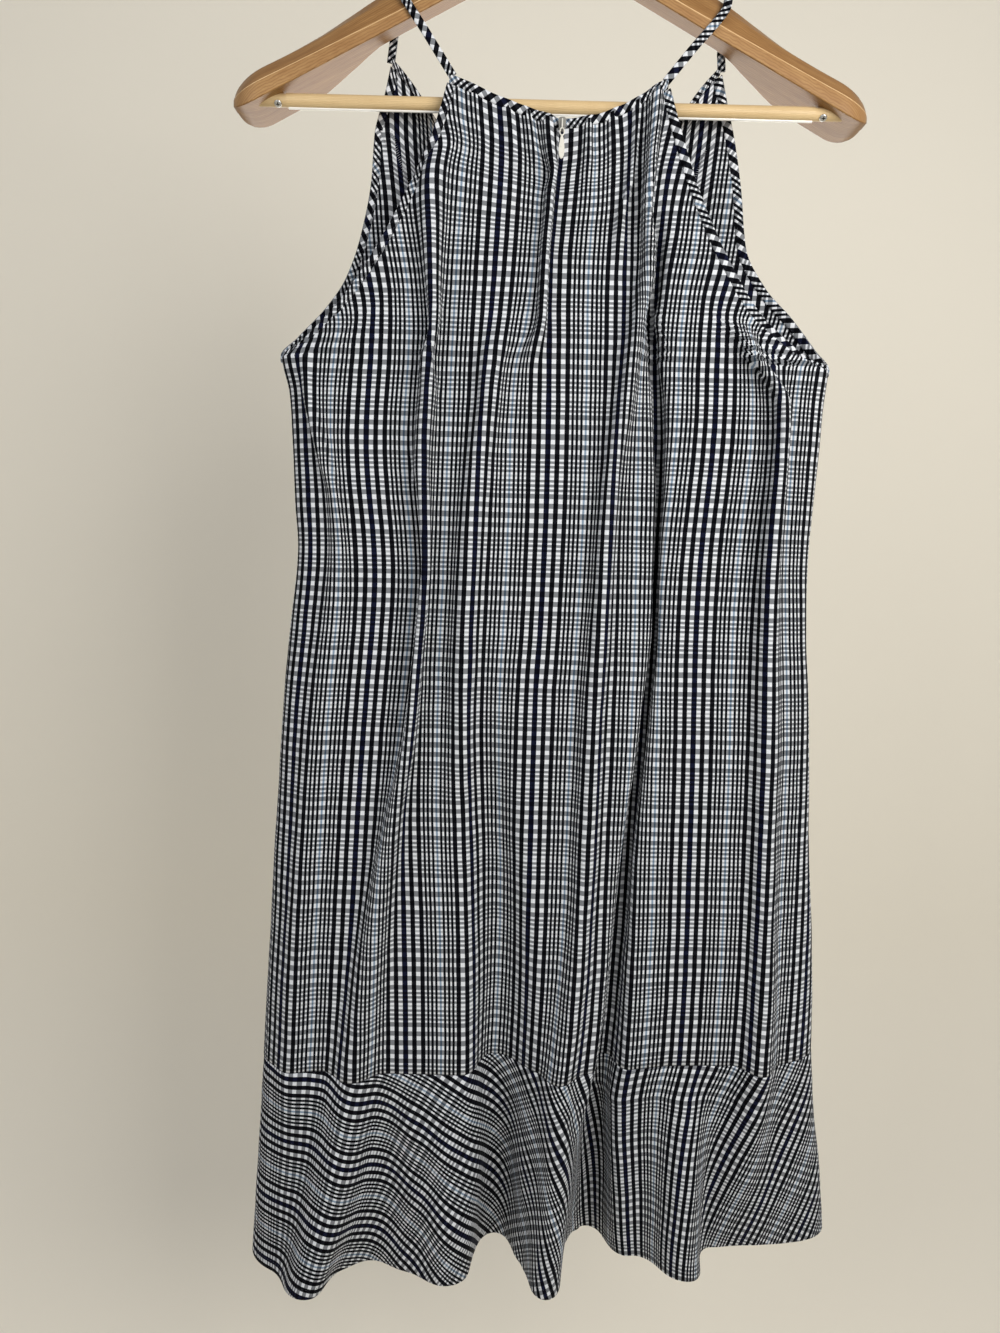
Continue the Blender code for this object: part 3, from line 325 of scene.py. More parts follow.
FRONT_OUTLINE = (OUTLINE_COLUMNS, [
    (-155, -112, 4, 119, -134, 141, 13, 13, 0, 8, 8),
    (-179, -117, 4, 125, -142, 150, 13, 13, 0, 8, 8),
    (-206, -124, 4, 132, -150, 159, 13, 13, 0, 8, 8),
    (-237, -126, 4, 138, -156, 168, 13, 13, 0, 8, 8),
    (-278, -134, 4, 144, -168, 178, 13, 13, 0, 8, 8),
    (-306, -144, 4, 160, -181, 198, 12, 12, 5, 8, 8),
    (-326, -157, 4, 179, -197, 219, 10, 10, 20, 8, 8),
    (-349, -177, 4, 196, -220, 244, 5, 5, 55, 9, 9),
    (ARMPIT_Z, -187, 4, 204, -236, 260, 0, 0, 90, 9, 9),
    (-390, -181, 4, 202, -237, 260, 0, 0, 90, 10, 10),
    (-424, -179, 5, 201, -237, 260, 0, 0, 90, 11, 11),
    (-468, -177, 6, 199, -237, 260, 0, 0, 90, 12, 12),
    (-497, -175, 7, 198, -237, 260, 0, 0, 90, 12, 12),
    (-552, -180, 8, 200, -238, 261, 0, 0, 90, 13, 13),
    (-605, -185, 8, 205, -240, 264, 0, 0, 90, 13, 13),
    (-728, -193, 9, 214, -244, 272, 2, 1, 90, 14, 14),
    (-835, -199, 10, 223, -250, 280, 4, 2, 90, 15, 15),
    (SEAM_Z, -202, 10, 225, -254, 286, 5, 2, 90, 16, 15),
])

# Flounces, one row a drop below their seam, after the seam's own row. Flat sizes are the seam's.
BACK_FLOUNCE = [
    (-60, -206, 2, 234, -243, 287, -7, -10, 90, 27, 15),
    (-120, -210, 2, 245, -243, 287, -9, -19, 90, 29, 13),
    (-FLOUNCE_DEPTH, -213, 1, 253, -243, 287, -11, -27, 90, 30, 11),
]

FRONT_FLOUNCE = [
    (-60, -206, 10, 234, -254, 286, 7, 10, 90, 15, 14),
    (-120, -210, 10, 245, -254, 286, 9, 19, 90, 14, 12),
    (-FLOUNCE_DEPTH, -213, 10, 253, -254, 286, 11, 27, 90, 13, 9),
]
print("heights with an outline, back and front:", len(BACK_OUTLINE[1]), len(FRONT_OUTLINE[1]))

# %% [markdown]
# ## The folds of the body
# Each fold was read from the photograph, from where the check narrows and leans. It is followed down
# the cloth, so that it stays one fold from its start to its end. A fold could be drawn as a bump on
# a smooth body, but then its stripes would stretch. Here it takes up cloth, as a real one does.

# %% State the folds of the body
# Each row is a height on one fold: where its crest lies on the flat cloth, measured from the
# middle of the layer, how much cloth climbs to the crest from the left and falls from it on the
# right, and how far the crest stands out. A negative depth is a valley.
FOLD_COLUMNS = ("z", "place", "left_run", "right_run", "depth")

BACK_FOLDS = {
    "left pleat": [(-215, -100, 18, 18, 0), (-240, -103, 19, 19, 9), (-291, -105, 20, 20, 14.3),
                   (-331, -106, 20, 20, 14.9), (-392, -107, 21, 21, 15.3), (-497, -108, 21, 21, 16.5),
                   (-605, -110, 21, 22, 16.8), (-680, -120, 22, 22, 15), (-760, -133, 24, 24, 12.5),
                   (SEAM_Z, -150, 28, 28, 10)],
    "zip fold": [(-176, -12, 12, 12, 6), (-240, -12, 13, 13, 9.5), (-291, -12, 13, 13, 10),
                 (-331, -12, 13, 13, 9.5), (-375, -14, 13, 13, 0)],
    "left waist fold": [(-335, -44, 18, 18, 0), (-360, -46, 19, 19, 7), (-392, -48, 20, 20, 11.7),
                        (-440, -54, 20, 20, 10), (-497, -58, 20, 20, 8.7), (-560, -58, 20, 20, 8.5),
                        (-620, -58, 20, 20, 8), (-700, -66, 18, 18, 0)],
    "right neck fold": [(-176, 80, 12, 12, 6), (-250, 84, 18, 18, 12), (-291, 81, 20, 20, 13.8),
                        (-331, 73, 20, 20, 13.8), (-392, 62, 20, 20, 12.9), (-440, 53, 20, 20, 11.9),
                        (-497, 50, 20, 20, 11.2), (-560, 48, 20, 20, 9.5), (-640, 46, 20, 20, 9.5),
                        (-718, 46, 20, 20, 10.6), (-835, 40, 22, 22, 11), (SEAM_Z, 36, 24, 24, 12)],
    "right pleat": [(-255, 100, 17, 16, 0), (-291, 102, 19, 17, -9), (-331, 104, 20, 18, -14),
                    (-392, 107, 21, 20, -15.2), (-497, 113, 24, 22, -18.1), (-560, 113, 25, 24, -19),
                    (-605, 109, 25, 24, -19.3), (-718, 99, 26, 25, -20), (-780, 95, 27, 27, -21),
                    (SEAM_Z, 90, 27, 34, -24)],
    "left flute valley": [(-560, -38, 26, 24, 0), (-650, -36, 28, 28, -7), (-718, -34, 30, 34, -12),
                          (-800, -30, 34, 44, -17), (SEAM_Z, -28, 36, 54, -23)],
    "right armpit fold": [(-330, 176, 14, 12, 0), (-347, 186, 17, 16, 9), (-366, 202, 20, 20, 14),
                          (-392, 216, 22, 22, 16.5), (-440, 218, 22, 22, 15), (-497, 218, 22, 22, 13),
                          (-605, 218, 22, 22, 10), (-718, 220, 22, 22, 11), (-835, 224, 23, 23, 12.5),
                          (SEAM_Z, 226, 26, 24, 13)],
    "left armpit fold": [(-355, -207, 8, 8, 0), (-385, -206, 11, 11, 6), (-410, -200, 13, 13, 9),
                         (-440, -192, 14, 14, 10), (-463, -188, 14, 14, 8), (-520, -190, 16, 16, 5),
                         (-600, -194, 18, 18, 4), (SEAM_Z, -205, 20, 20, 3)],
    "short gather fold": [(-176, 62, 8, 8, 4), (-240, 55, 9, 9, 6), (-262, 50, 9, 9, 5),
                          (-300, 46, 9, 9, 0)],
}

FRONT_FOLDS = {
    "left shoulder fold": [(-155, -96, 12, 12, 4), (-240, -98, 16, 16, 9), (-360, -104, 20, 20, 12),
                           (-500, -112, 22, 22, 13), (-640, -128, 24, 24, 12), (SEAM_Z, -150, 28, 28, 11)],
    "left flute": [(-480, -66, 18, 18, 0), (-640, -76, 24, 24, 6), (SEAM_Z, -92, 28, 28, 9)],
    "left bust fold": [(-155, -52, 10, 10, 5), (-260, -46, 15, 15, 9), (-380, -38, 19, 19, 11),
                       (-520, -28, 22, 22, 8), (-660, -30, 24, 24, 6), (SEAM_Z, -36, 27, 27, 8)],
    "middle fold": [(-155, 12, 9, 9, 5), (-300, 16, 13, 13, 8), (-420, 18, 18, 18, 9),
                    (-600, 18, 22, 22, 7), (SEAM_Z, 18, 26, 26, 9)],
    "right bust fold": [(-155, 58, 11, 11, 5), (-270, 56, 16, 16, 10), (-400, 60, 20, 20, 12),
                        (-540, 64, 22, 22, 9), (-680, 68, 24, 24, 7), (SEAM_Z, 72, 27, 27, 8)],
    "right flute": [(-480, 100, 18, 18, 0), (-640, 116, 24, 24, 6), (SEAM_Z, 128, 28, 28, 9)],
    "right shoulder fold": [(-155, 104, 12, 12, 4), (-250, 106, 16, 16, 9), (-370, 118, 20, 20, 13),
                            (-520, 146, 22, 22, 13), (-660, 168, 25, 25, 12), (SEAM_Z, 186, 28, 28, 11)],
    "left side fold": [(-350, -196, 10, 10, 0), (-400, -194, 14, 14, 8), (-480, -190, 16, 16, 6),
                       (-620, -192, 18, 18, 4), (-760, -200, 20, 20, 4), (SEAM_Z, -206, 24, 24, 6)],
    "right side fold": [(-350, 214, 12, 12, 0), (-410, 212, 15, 15, 9), (-500, 208, 18, 18, 6),
                        (-600, 216, 18, 18, 4), (-760, 230, 22, 22, 4), (SEAM_Z, 240, 26, 24, 7)],
}

print("folds on the back:", len(BACK_FOLDS), "on the front:", len(FRONT_FOLDS))

# %% [markdown]
# ## The flutes, the gathers and the neckline
# Below its seam a flounce has cloth to spare, so the body's folds open into deep flutes. The back's
# are a little broader here than in its solid, as the photograph shows them. Short gathers run down
# from the neck, where the panel is drawn up to fit its binding.

# %% State the flutes and the gathers
# Heights are drops below the seam. Places and runs are the cloth's at the seam.
BACK_FLOUNCE_FOLDS = {
    "left pleat": [(-90, -166, 36, 29, 15), (-172, -177, 41, 31, 27)],
    "left panel wave": [(0, -120, 16, 16, 0), (-60, -124, 24, 24, -6), (-172, -129, 26, 28, -10)],
    "left panel crest": [(0, -80, 16, 16, 0), (-60, -80, 21, 21, 4), (-172, -77, 30, 28, 14)],
    "left flute valley": [(-90, -28, 39, 42, -30), (-172, -27, 40, 40, -35)],
    "right neck fold": [(-90, 36, 30, 28, 21), (-172, 37, 35, 34, 35)],
    "right pleat": [(-90, 92, 40, 37, -32), (-172, 95, 40, 39, -36)],
    "right flute": [(0, 164, 18, 18, 0), (-60, 174, 32, 26, 13), (-172, 177, 43, 33, 34)],
    "right armpit fold": [(-90, 226, 26, 24, 7), (-172, 226, 26, 24, 0)],
    "left armpit fold": [(-60, -206, 20, 18, 0)],
}

# The front's flutes are alike but for the two at its sides: the flat place of each one's crest
FRONT_FLUTES = {"left side fold": -206, "left shoulder fold": -150, "left flute": -93,
                "left bust fold": -37, "middle fold": 18, "right bust fold": 73,
                "right flute": 128, "right shoulder fold": 184, "right side fold": 240}
FRONT_FLOUNCE_FOLDS = {name: [(-FLOUNCE_DEPTH, place, 28, 28, 22)] for name, place in FRONT_FLUTES.items()}
FRONT_FLOUNCE_FOLDS["left side fold"] = [(-FLOUNCE_DEPTH, -206, 28, 28, 16)]
FRONT_FLOUNCE_FOLDS["right side fold"] = [(-FLOUNCE_DEPTH, 240, 28, 24, 20)]

# Small gathers run down from the neck bindings: place on the flat cloth, run, depth and length
GATHER_COLUMNS = ("place", "run", "depth", "length")
BACK_GATHERS = (GATHER_COLUMNS, [(-70, 7, 2.0, 60), (-46, 7, 2.5, 80), (-30, 7, 3.5, 60),
                                 (20, 7, 3.5, 90), (40, 7, 3.0, 70)])
FRONT_GATHERS = (GATHER_COLUMNS, [(-76, 12, 5.0, 120), (-22, 12, 5.0, 150), (34, 10, 4.0, 130),
                                  (82, 12, 5.0, 120)])

# The flounce's seam doesn't hang level: how much higher it is at each x
SEAM_TILT = [(-202, -5), (-180, -4), (-150, 0), (40, 0), (70, 4), (110, 10), (225, 11)]

# Necklines: x and z of the bound edge
BACK_NECK = [(-70, -176), (-66, -177), (-35, -190), (8, -205), (36, -199), (60, -188), (79, -176)]
FRONT_NECK = [(-112, -155), (-98, -170), (-84, -190), (-60, -219), (-30, -240), (4, -247),
              (38, -240), (68, -219), (92, -190), (105, -170), (119, -155)]
BACK_NECK_FADE = 130.0
FRONT_NECK_FADE = 190.0
print("flutes on the back:", len(BACK_FLOUNCE_FOLDS), "gathers at its neck:", len(BACK_GATHERS[1]))

# %% [markdown]
# ## From a table to a smooth curve
# A table gives a value at a few heights only, and cloth has no corners between them. Straight lines
# would leave creases, and a plain cubic curve overshoots and makes a ripple that nobody sewed. A
# monotone cubic curve does neither, so every table is read through one.

# %% Read the tables smoothly


def smooth_read(rows, column, z):
    """Reads one column of a table at height z, on a smooth curve through its rows."""
    zs = np.array([row[0] for row in rows], float)
    values = np.array([row[column] for row in rows], float)
    if zs[0] > zs[-1]:
        zs = -zs
        z = -z
    z = min(max(z, zs[0]), zs[-1])
    slopes = np.zeros(len(zs))
    steps = np.diff(values) / np.diff(zs)
    for i in range(1, len(zs) - 1):
        if steps[i - 1] * steps[i] > 0:
            slopes[i] = 2.0 / (1.0 / steps[i - 1] + 1.0 / steps[i])
    slopes[0] = steps[0]
    slopes[-1] = steps[-1]
    i = int(min(max(np.searchsorted(zs, z) - 1, 0), len(zs) - 2))
    run = zs[i + 1] - zs[i]
    t = (z - zs[i]) / run
    start = (1 + 2 * t) * (1 - t) ** 2 * values[i] + t * (1 - t) ** 2 * run * slopes[i]
    end = t * t * (3 - 2 * t) * values[i + 1] + t * t * (t - 1) * run * slopes[i + 1]
    return start + end


def table_read(table, name, z):
    names, rows = table
    return float(smooth_read(rows, names.index(name), z))


def ease(t):
    t = np.clip(t, 0.0, 1.0)
    return t * t * (3 - 2 * t)


print("left edge at mid height, mm: %.1f" % table_read(BACK_OUTLINE, "left", -500.0))

# %% [markdown]
# ## Folds as slopes
# A fold is written as the slope of the cloth along its own length: it swells on the way up to the
# crest and again on the way down. Adding up the slopes gives a shape whose length never changes,
# which is what makes it look like cloth and not like a bent plate.

# %% Turn folds into slopes
# The steepest that cloth leans in a fold, past upright, so that a fold never closes on itself
STEEPEST = math.radians(116)
LEAST_DEPTH = 0.05

# How far a run of cloth rises when its slope swells to an angle and dies away again
SWELLS = np.linspace(0.0, 2.0, 41)
SWELL_RISES = np.array([np.mean(np.sin(a * np.sin(np.linspace(0, math.pi, 181)))) for a in SWELLS])


def swell(depth, run):
    return math.copysign(float(np.interp(abs(depth) / run, SWELL_RISES, SWELLS)), depth)


def fold_angles(flat, folds, gathers, z, top):
    """Slope of the cloth at each flat place, from every fold that reaches this height."""
    angle = np.zeros_like(flat)
    crests = []
    for rows in folds.values():
        place, left_run, right_run, depth = (
            float(smooth_read(rows, c, z)) for c in range(1, len(FOLD_COLUMNS)))
        if z > rows[0][0] and rows[0][4] == 0 or z < rows[-1][0] and rows[-1][4] == 0:
            depth = 0.0
        crests.append((place, left_run, right_run, depth))
    for place, run, depth, length in gathers:
        crests.append((place, run, run, depth * (1 - ease((top - z) / length))))
    for place, left_run, right_run, depth in crests:
        if abs(depth) < LEAST_DEPTH:
            continue
        up = (flat - place + left_run) / left_run
        down = (flat - place) / right_run
        angle += np.where((up > 0) & (up < 1), swell(depth, left_run) * np.sin(np.pi * up), 0)
        angle -= np.where((down > 0) & (down < 1), swell(depth, right_run) * np.sin(np.pi * down), 0)
    return angle


print("a 12 mm fold on a 20 mm run swells to %.0f degrees" % math.degrees(swell(12.0, 20.0)))

# %% [markdown]
# ## Hanging a row
# Each half of a row, from the middle seam to the side, has to end where the outline says. A
# bisection deepens or eases all of its folds together until it does. Both halves share one
# strength at the middle seam, so that they meet there without a step.

# %% Fit a half row to the outline
# How much cloth each side of the middle the folds of both halves share one strength over
BLEND_RUN = 26.0
STRENGTH_MOST = 3.0
BISECTIONS = 22


def half_across(flat, turn, folds, strength, shared):
    """Slope along half a layer, and how wide it then hangs."""
    own = ease(np.abs(flat) / BLEND_RUN)
    angle = turn + STEEPEST * np.tanh(folds * (strength * own + shared * (1 - own)) / STEEPEST)
    middle = (angle[1:] + angle[:-1]) / 2
    return angle, float(np.sum(np.cos(middle) * np.diff(flat)))


def fit_strength(flat, turn, folds, width, shared):
    """Deepens or eases the folds until this half hangs as wide as it should, at its flat length."""
    low, high = 0.0, STRENGTH_MOST
    for _ in range(BISECTIONS):
        guess = (low + high) / 2
        if half_across(flat, turn, folds, guess, shared)[1] > width:
            low = guess
        else:
            high = guess
    return (low + high) / 2


def lay_half(flat, turn, folds, width, strength, shared):
    angle, reached = half_across(flat, turn, folds, strength, shared)
    middle = (angle[1:] + angle[:-1]) / 2
    step = np.diff(flat)
    x = np.concatenate([[0], np.cumsum(np.cos(middle) * step)]) * (width / reached)
    out = np.concatenate([[0], np.cumsum(np.sin(middle) * step)])
    return angle, x, out


print("folds blend over %.0f mm each side of the middle seam" % BLEND_RUN)

# %% [markdown]
# ## A layer of the dress
# A back or a front has to answer one question for every piece sewn to it: where does this place of
# the flat cloth hang? A class suits that, because it can keep the tables of one layer together and
# remember each height that it has worked out. The panels, the bindings, the zip's tapes and the
# seam allowances all ask the same two layers, so they meet where they are sewn.

# %% Keep a layer's sections
# How many points a half row is worked out at, and how often its two halves are brought together
SECTION_POINTS = 241
HALVES_TRIED = 5
# The body's hem seam sags where the cloth stands out, from some height down
SAG_START = -700.0
SEAM_SAG = 0.18
PIT_RISE = 6.0


class Layer:
    """One layer of the dress: a section of cloth at every height, kept at its flat length."""

    def __init__(self, side, outline, folds, gathers=(), neck=None, neck_fade=1.0, radius=None):
        self.side = side
        self.outline = outline
        self.folds = folds
        self.gathers = gathers[1] if gathers else ()
        self.neck = neck
        self.neck_fade = neck_fade
        self.radius = radius
        self.top = outline[1][0][0]
        self.sections = {}

    def section(self, z):
        """Flat place, x, distance out, slope and rise above the edges, along the cloth at one height."""
        if z in self.sections:
            return self.sections[z]
        flat_left, flat_right, run_left, run_right, left_x, centre_x, right_x, start_out, end_out = (
            table_read(self.outline, name, z)
            for name in ("flat_left", "flat_right", "run_left", "run_right", "left", "centre", "right",
                         "out_left", "out_right"))
        spread = 1.0 if self.radius is None else 1.0 - z / self.radius
        turn = math.radians(table_read(self.outline, "turn", z))
        halves = []
        for start, end, width in ((flat_left, 0.0, centre_x - left_x), (0.0, flat_right, right_x - centre_x)):
            places = np.linspace(start, end, SECTION_POINTS)
            flat = places * spread
            turning = turn * np.exp(-(flat - flat_left * spread) / run_left)
            turning = turning - turn * np.exp(-(flat_right * spread - flat) / run_right)
            # The folds' runs are flat sizes at the seam, so their slopes are read from there
            folding = fold_angles(places, self.scaled_folds(spread), self.gathers, z, self.top)
            halves.append((places, flat, turning, folding, width))
        shared = 1.0
        for _ in range(HALVES_TRIED):
            strengths = [fit_strength(*half[1:], shared) for half in halves]
            shared = sum(strengths) / 2
        halves = [(half[0],) + lay_half(*half[1:], strength, shared)
                  for half, strength in zip(halves, strengths)]
        left, right = halves
        flat = np.concatenate([left[0], right[0][1:]])
        angle = np.concatenate([left[1], right[1][1:]])
        x = np.concatenate([left[2] + left_x, right[2][1:] + centre_x])
        out = np.concatenate([left[3], right[3][1:] + left[3][-1]])
        share = (flat - flat_left) / (flat_right - flat_left)
        out = out + start_out + (end_out - start_out - out[-1]) * share
        rise = out - start_out - (end_out - start_out) * share
        self.sections[z] = (flat, x, out, angle, rise)
        return self.sections[z]

    def scaled_folds(self, spread):
        """A flounce's cloth spreads below its seam, so a fold needs less slope for its depth."""
        if spread == 1.0:
            return self.folds
        return {name: [row[:4] + (row[4] / spread,) for row in rows] for name, rows in self.folds.items()}

    def drop(self, x, z, rise):
        """How far a point of the row hangs below the row's own height."""
        low = np.zeros_like(x)
        if self.neck is not None:
            low = np.interp(x, [p[0] for p in self.neck], [p[1] for p in self.neck]) - self.top
            low = low * (1 - ease((self.top - z) / self.neck_fade))
        if self.radius is None:
            tilt = np.interp(x, [p[0] for p in SEAM_TILT], [p[1] for p in SEAM_TILT])
            low = low + (tilt - SEAM_SAG * rise) * ease((SAG_START - z) / (SAG_START - SEAM_Z))
        return low

    def row(self, flat, z):
        """Points and outward directions for flat places along one row."""
        places, xs, outs, angles, rises = self.section(z)
        x = np.interp(flat, places, xs)
        out = np.interp(flat, places, outs)
        rise = np.interp(flat, places, rises)
        angle = np.interp(flat, places, angles)
        points = np.stack([x, self.side * out, z + self.drop(x, z, rise)], axis=-1)
        faces_out = np.stack([-np.sin(angle), self.side * np.cos(angle), np.zeros_like(x)], axis=-1)
        return points, faces_out

    def edge(self, z, right):
        return table_read(self.outline, "flat_right" if right else "flat_left", z)

    def inward(self, z, right):
        """Direction on the flat cloth, square to the armhole's edge and into the panel."""
        if z <= ARMPIT_Z:
            return 0.0, -1.0
        step = 2.0
        slope = (self.edge(z + step, right) - self.edge(z - step, right)) / (2 * step)
        across = -1.0 if right else 1.0
        length = math.hypot(1.0, slope)
        into = (across / length, -abs(slope) / length)
        near_pit = float(ease((z - ARMPIT_Z) / PIT_RISE))
        return into[0] * near_pit, into[1] * near_pit - (1 - near_pit)

    def armhole_point(self, z, right, inset):
        """A point of the armhole's edge, set a distance into the panel, and its outward direction."""
        across, down = self.inward(z, right)
        flat = np.array([self.edge(z, right) + across * inset])
        point, faces_out = self.row(flat, z)
        return point[0] + np.array([0, 0, down * inset]), faces_out[0]


def flounce_layer(body, outline, folds):
    """A flounce starts from its body layer's own section at the seam."""
    names, rows = body.outline
    seam = (0,) + rows[-1][1:]
    going_on = {}
    for name, lower in folds.items():
        above = body.folds.get(name)
        going_on[name] = [(0,) + above[-1][1:]] + lower if above else lower
    return Layer(body.side, (names, [seam] + outline), going_on, radius=FLOUNCE_RADIUS)


back = Layer(BACK_SIDE, BACK_OUTLINE, BACK_FOLDS, BACK_GATHERS, BACK_NECK, BACK_NECK_FADE)
front = Layer(FRONT_SIDE, FRONT_OUTLINE, FRONT_FOLDS, FRONT_GATHERS, FRONT_NECK, FRONT_NECK_FADE)
back_hem = flounce_layer(back, BACK_FLOUNCE, BACK_FLOUNCE_FOLDS)
front_hem = flounce_layer(front, FRONT_FLOUNCE, FRONT_FLOUNCE_FOLDS)
print("cloth across the back at the seam, mm: %.0f" % (back.edge(SEAM_Z, True) - back.edge(SEAM_Z, False)))

# %% [markdown]
# ## The check
# The cloth is a yarn-dyed check of black, white and pale blue: the same stripes run down it and
# across it. Going away from a blue line there are four thin white stripes and then half of a group
# of four wide ones, and the same mirrored, so a table of half the repeat is enough. A colour ramp
# reads it. The weft has the same stripes a little further apart.

# %% State the check
REPEAT = 53.4
WEFT_REPEAT = 55.8
WEFT_BLUE_Z = -388.0
BLUE_FROM_SEAM = 27.0

# Where each stripe ends, in millimetres from the middle of a blue line
STRIPES = (("blue", 0.7), ("white", 2.25), ("black", 4.05), ("white", 5.4), ("black", 7.2),
           ("white", 8.55), ("black", 10.3), ("white", 11.75), ("black", 15.1), ("white", 18.15),
           ("black", 21.65), ("white", 24.7), ("navy", REPEAT / 2))

# Colour of a warp stripe where a white weft crosses it, and where a black weft does
WARP_COLOURS = {
    "white": ((0.63, 0.645, 0.665), (0.17, 0.178, 0.19)),
    "black": ((0.006, 0.0065, 0.009), (0.001, 0.0011, 0.002)),
    "navy": ((0.006, 0.0075, 0.021), (0.0012, 0.0014, 0.005)),
    "blue": ((0.20, 0.265, 0.34), (0.04, 0.06, 0.085)),
}


def stripe_stops(colour_of):
    """Ramp stops for half the repeat, each at the start of its stripe."""
    stops, start = [], 0.0
    for name, end in STRIPES:
        stops.append((start / (REPEAT / 2), colour_of(name)))
        start = end
    return stops


def half_repeat(tree, coordinate):
    """From 0 at a blue line to 1 half a repeat away, and back."""
    folded = math_node(tree, "PINGPONG", coordinate, 0.5)
    return math_node(tree, "MULTIPLY", folded, 2.0)


def check_colour(tree):
    """Colour of the check at the map's place on the flat cloth, in repeats of the check."""
    place = flat_place(tree)
    # Yarns are never quite straight or even, so the place wavers by a fraction of a millimetre
    waver = add_node(tree, "ShaderNodeTexNoise", Vector=place, Scale=2.2, Detail=2.0)
    waver = add_node(tree, "ShaderNodeVectorMath", [("operation", "MULTIPLY_ADD")],
                     i0=waver.outputs["Color"], i1=(0.012, 0.012, 0.0), i2=place)
    split = add_node(tree, "ShaderNodeSeparateXYZ", i0=waver.outputs[0])
    across = half_repeat(tree, split.outputs["X"])
    along = half_repeat(tree, split.outputs["Y"])
    under_white = ramp_node(tree, across, stripe_stops(lambda n: WARP_COLOURS[n][0]), constant=True)
    under_black = ramp_node(tree, across, stripe_stops(lambda n: WARP_COLOURS[n][1]), constant=True)
    is_white = {"white": 1.0, "black": 0.0, "navy": 0.0, "blue": 0.45}
    weft = ramp_node(tree, along, stripe_stops(lambda n: (is_white[n],) * 3), constant=True)
    weft = add_node(tree, "ShaderNodeSeparateColor", i0=weft).outputs[0]
    return place, mix_colours(tree, weft, under_black, under_white)


print("stripes in half a repeat:", len(STRIPES))

# %% [markdown]
# ## The cloth's finish
# Seen close, the cloth is a plain weave of matt cotton yarns. Painting it on an image would fix its
# sharpness, so the colour, the weave and a slight crinkle are all worked out from the map's place,
# and stay sharp at any distance. Cotton has hardly any shine, so its specular level is low.

# %% Weave the check
YARNS_PER_REPEAT = 150


def make_check(name):
    material, tree, shader = new_material(name, 0.82, Sheen_Weight=0.01, Sheen_Roughness=0.5,
                                          Specular_IOR_Level=0.04)
    place, colour = check_colour(tree)
    uneven = add_node(tree, "ShaderNodeTexNoise", Vector=place, Scale=90.0, Detail=3.0)
    shade = map_range(tree, uneven.outputs["Fac"], 0.3, 0.7, 0.86, 1.08)
    paint(tree, shader, mix_colours(tree, 1.0, colour, shade, "MULTIPLY"))
    # Plain weave: yarns go over and under, two sine waves multiplied
    yarns = add_node(tree, "ShaderNodeVectorMath", [("operation", "SCALE")], i0=place,
                     Scale=YARNS_PER_REPEAT * math.pi)
    split = add_node(tree, "ShaderNodeSeparateXYZ", i0=yarns.outputs[0])
    weave = math_node(tree, "MULTIPLY", math_node(tree, "SINE", split.outputs["X"]),
                      math_node(tree, "SINE", split.outputs["Y"]))
    crinkle = add_node(tree, "ShaderNodeTexNoise", Vector=place, Scale=9.0, Detail=4.0)
    height = math_node(tree, "MULTIPLY_ADD", weave, 0.03)
    tree.links.new(crinkle.outputs["Fac"], height.node.inputs[2])
    add_bump(tree, shader, height, 0.35, 1.2 * MM)
    return material


check_cloth = make_check("check_cloth")
print("yarns to a centimetre: %.0f" % (10 * YARNS_PER_REPEAT / REPEAT))

# %% [markdown]
# ## Cloth as a mesh
# A row of points for each height and a column for each place on the flat cloth make a grid. The
# map of the grid is the flat cloth itself, so the check bends, narrows and turns with the folds as
# woven cloth does. A Solidify modifier gives the sheet a little thickness, and noise moves it in
# and out by some tenths of a millimetre, as washed cotton never lies quite flat.

# %% Make cloth from a grid
CLOTH = 0.5
# How many waves of noise there are to a repeat of the check, across and along it
SOFT_WAVES = (1.9, 0.8)
FINE_WAVES = (6.0, 2.6)
FINE_SHARE = 0.35
FINE_SEED = 7.0


def add_mesh(name, verts, faces, material, uvs=None, smooth=True):
    """A mesh from points in millimetres. uvs gives one map place for each point."""
    mesh = bpy.data.meshes.new(name)
    mesh.from_pydata([tuple(float(c) * MM for c in v) for v in verts], [], faces)
    mesh.materials.append(material)
    if uvs is not None:
        layer = mesh.uv_layers.new(name="weave")
        corners = np.zeros(len(mesh.loops), dtype=np.int32)
        mesh.loops.foreach_get("vertex_index", corners)
        layer.data.foreach_set("uv", np.asarray(uvs, dtype=np.float32)[corners].ravel())
    obj = bpy.data.objects.new(name, mesh)
    bpy.context.collection.objects.link(obj)
    if smooth:
        mesh.shade_smooth()
    return obj


def grid_faces(rows, cols):
    return [(j * cols + i, (j + 1) * cols + i, (j + 1) * cols + i + 1, j * cols + i + 1)
            for j in range(rows - 1) for i in range(cols - 1)]


def add_cloth(name, points, places, material):
    """A thin sheet of cloth on a grid of points. places are its flat coordinates in repeats."""
    rows, cols, _ = points.shape
    obj = add_mesh(name, points.reshape(-1, 3), grid_faces(rows, cols), material, places.reshape(-1, 2))
    thick = obj.modifiers.new("thickness", "SOLIDIFY")
    thick.thickness = CLOTH * MM
    thick.offset = 0.0
    return obj


def crumple(points, normals, places, seed, amount):
    """Moves the points in and out by noise that is read at their flat places."""
    rows, cols, _ = points.shape
    for j in range(rows):
        for i in range(cols):
            s, t = places[j, i]
            soft = noise.noise(Vector((s * SOFT_WAVES[0], t * SOFT_WAVES[1], seed)))
            fine = noise.noise(Vector((s * FINE_WAVES[0], t * FINE_WAVES[1], seed + FINE_SEED)))
            points[j, i] += normals[j, i] * amount * (soft + FINE_SHARE * fine)


print("cloth thickness, mm:", CLOTH)

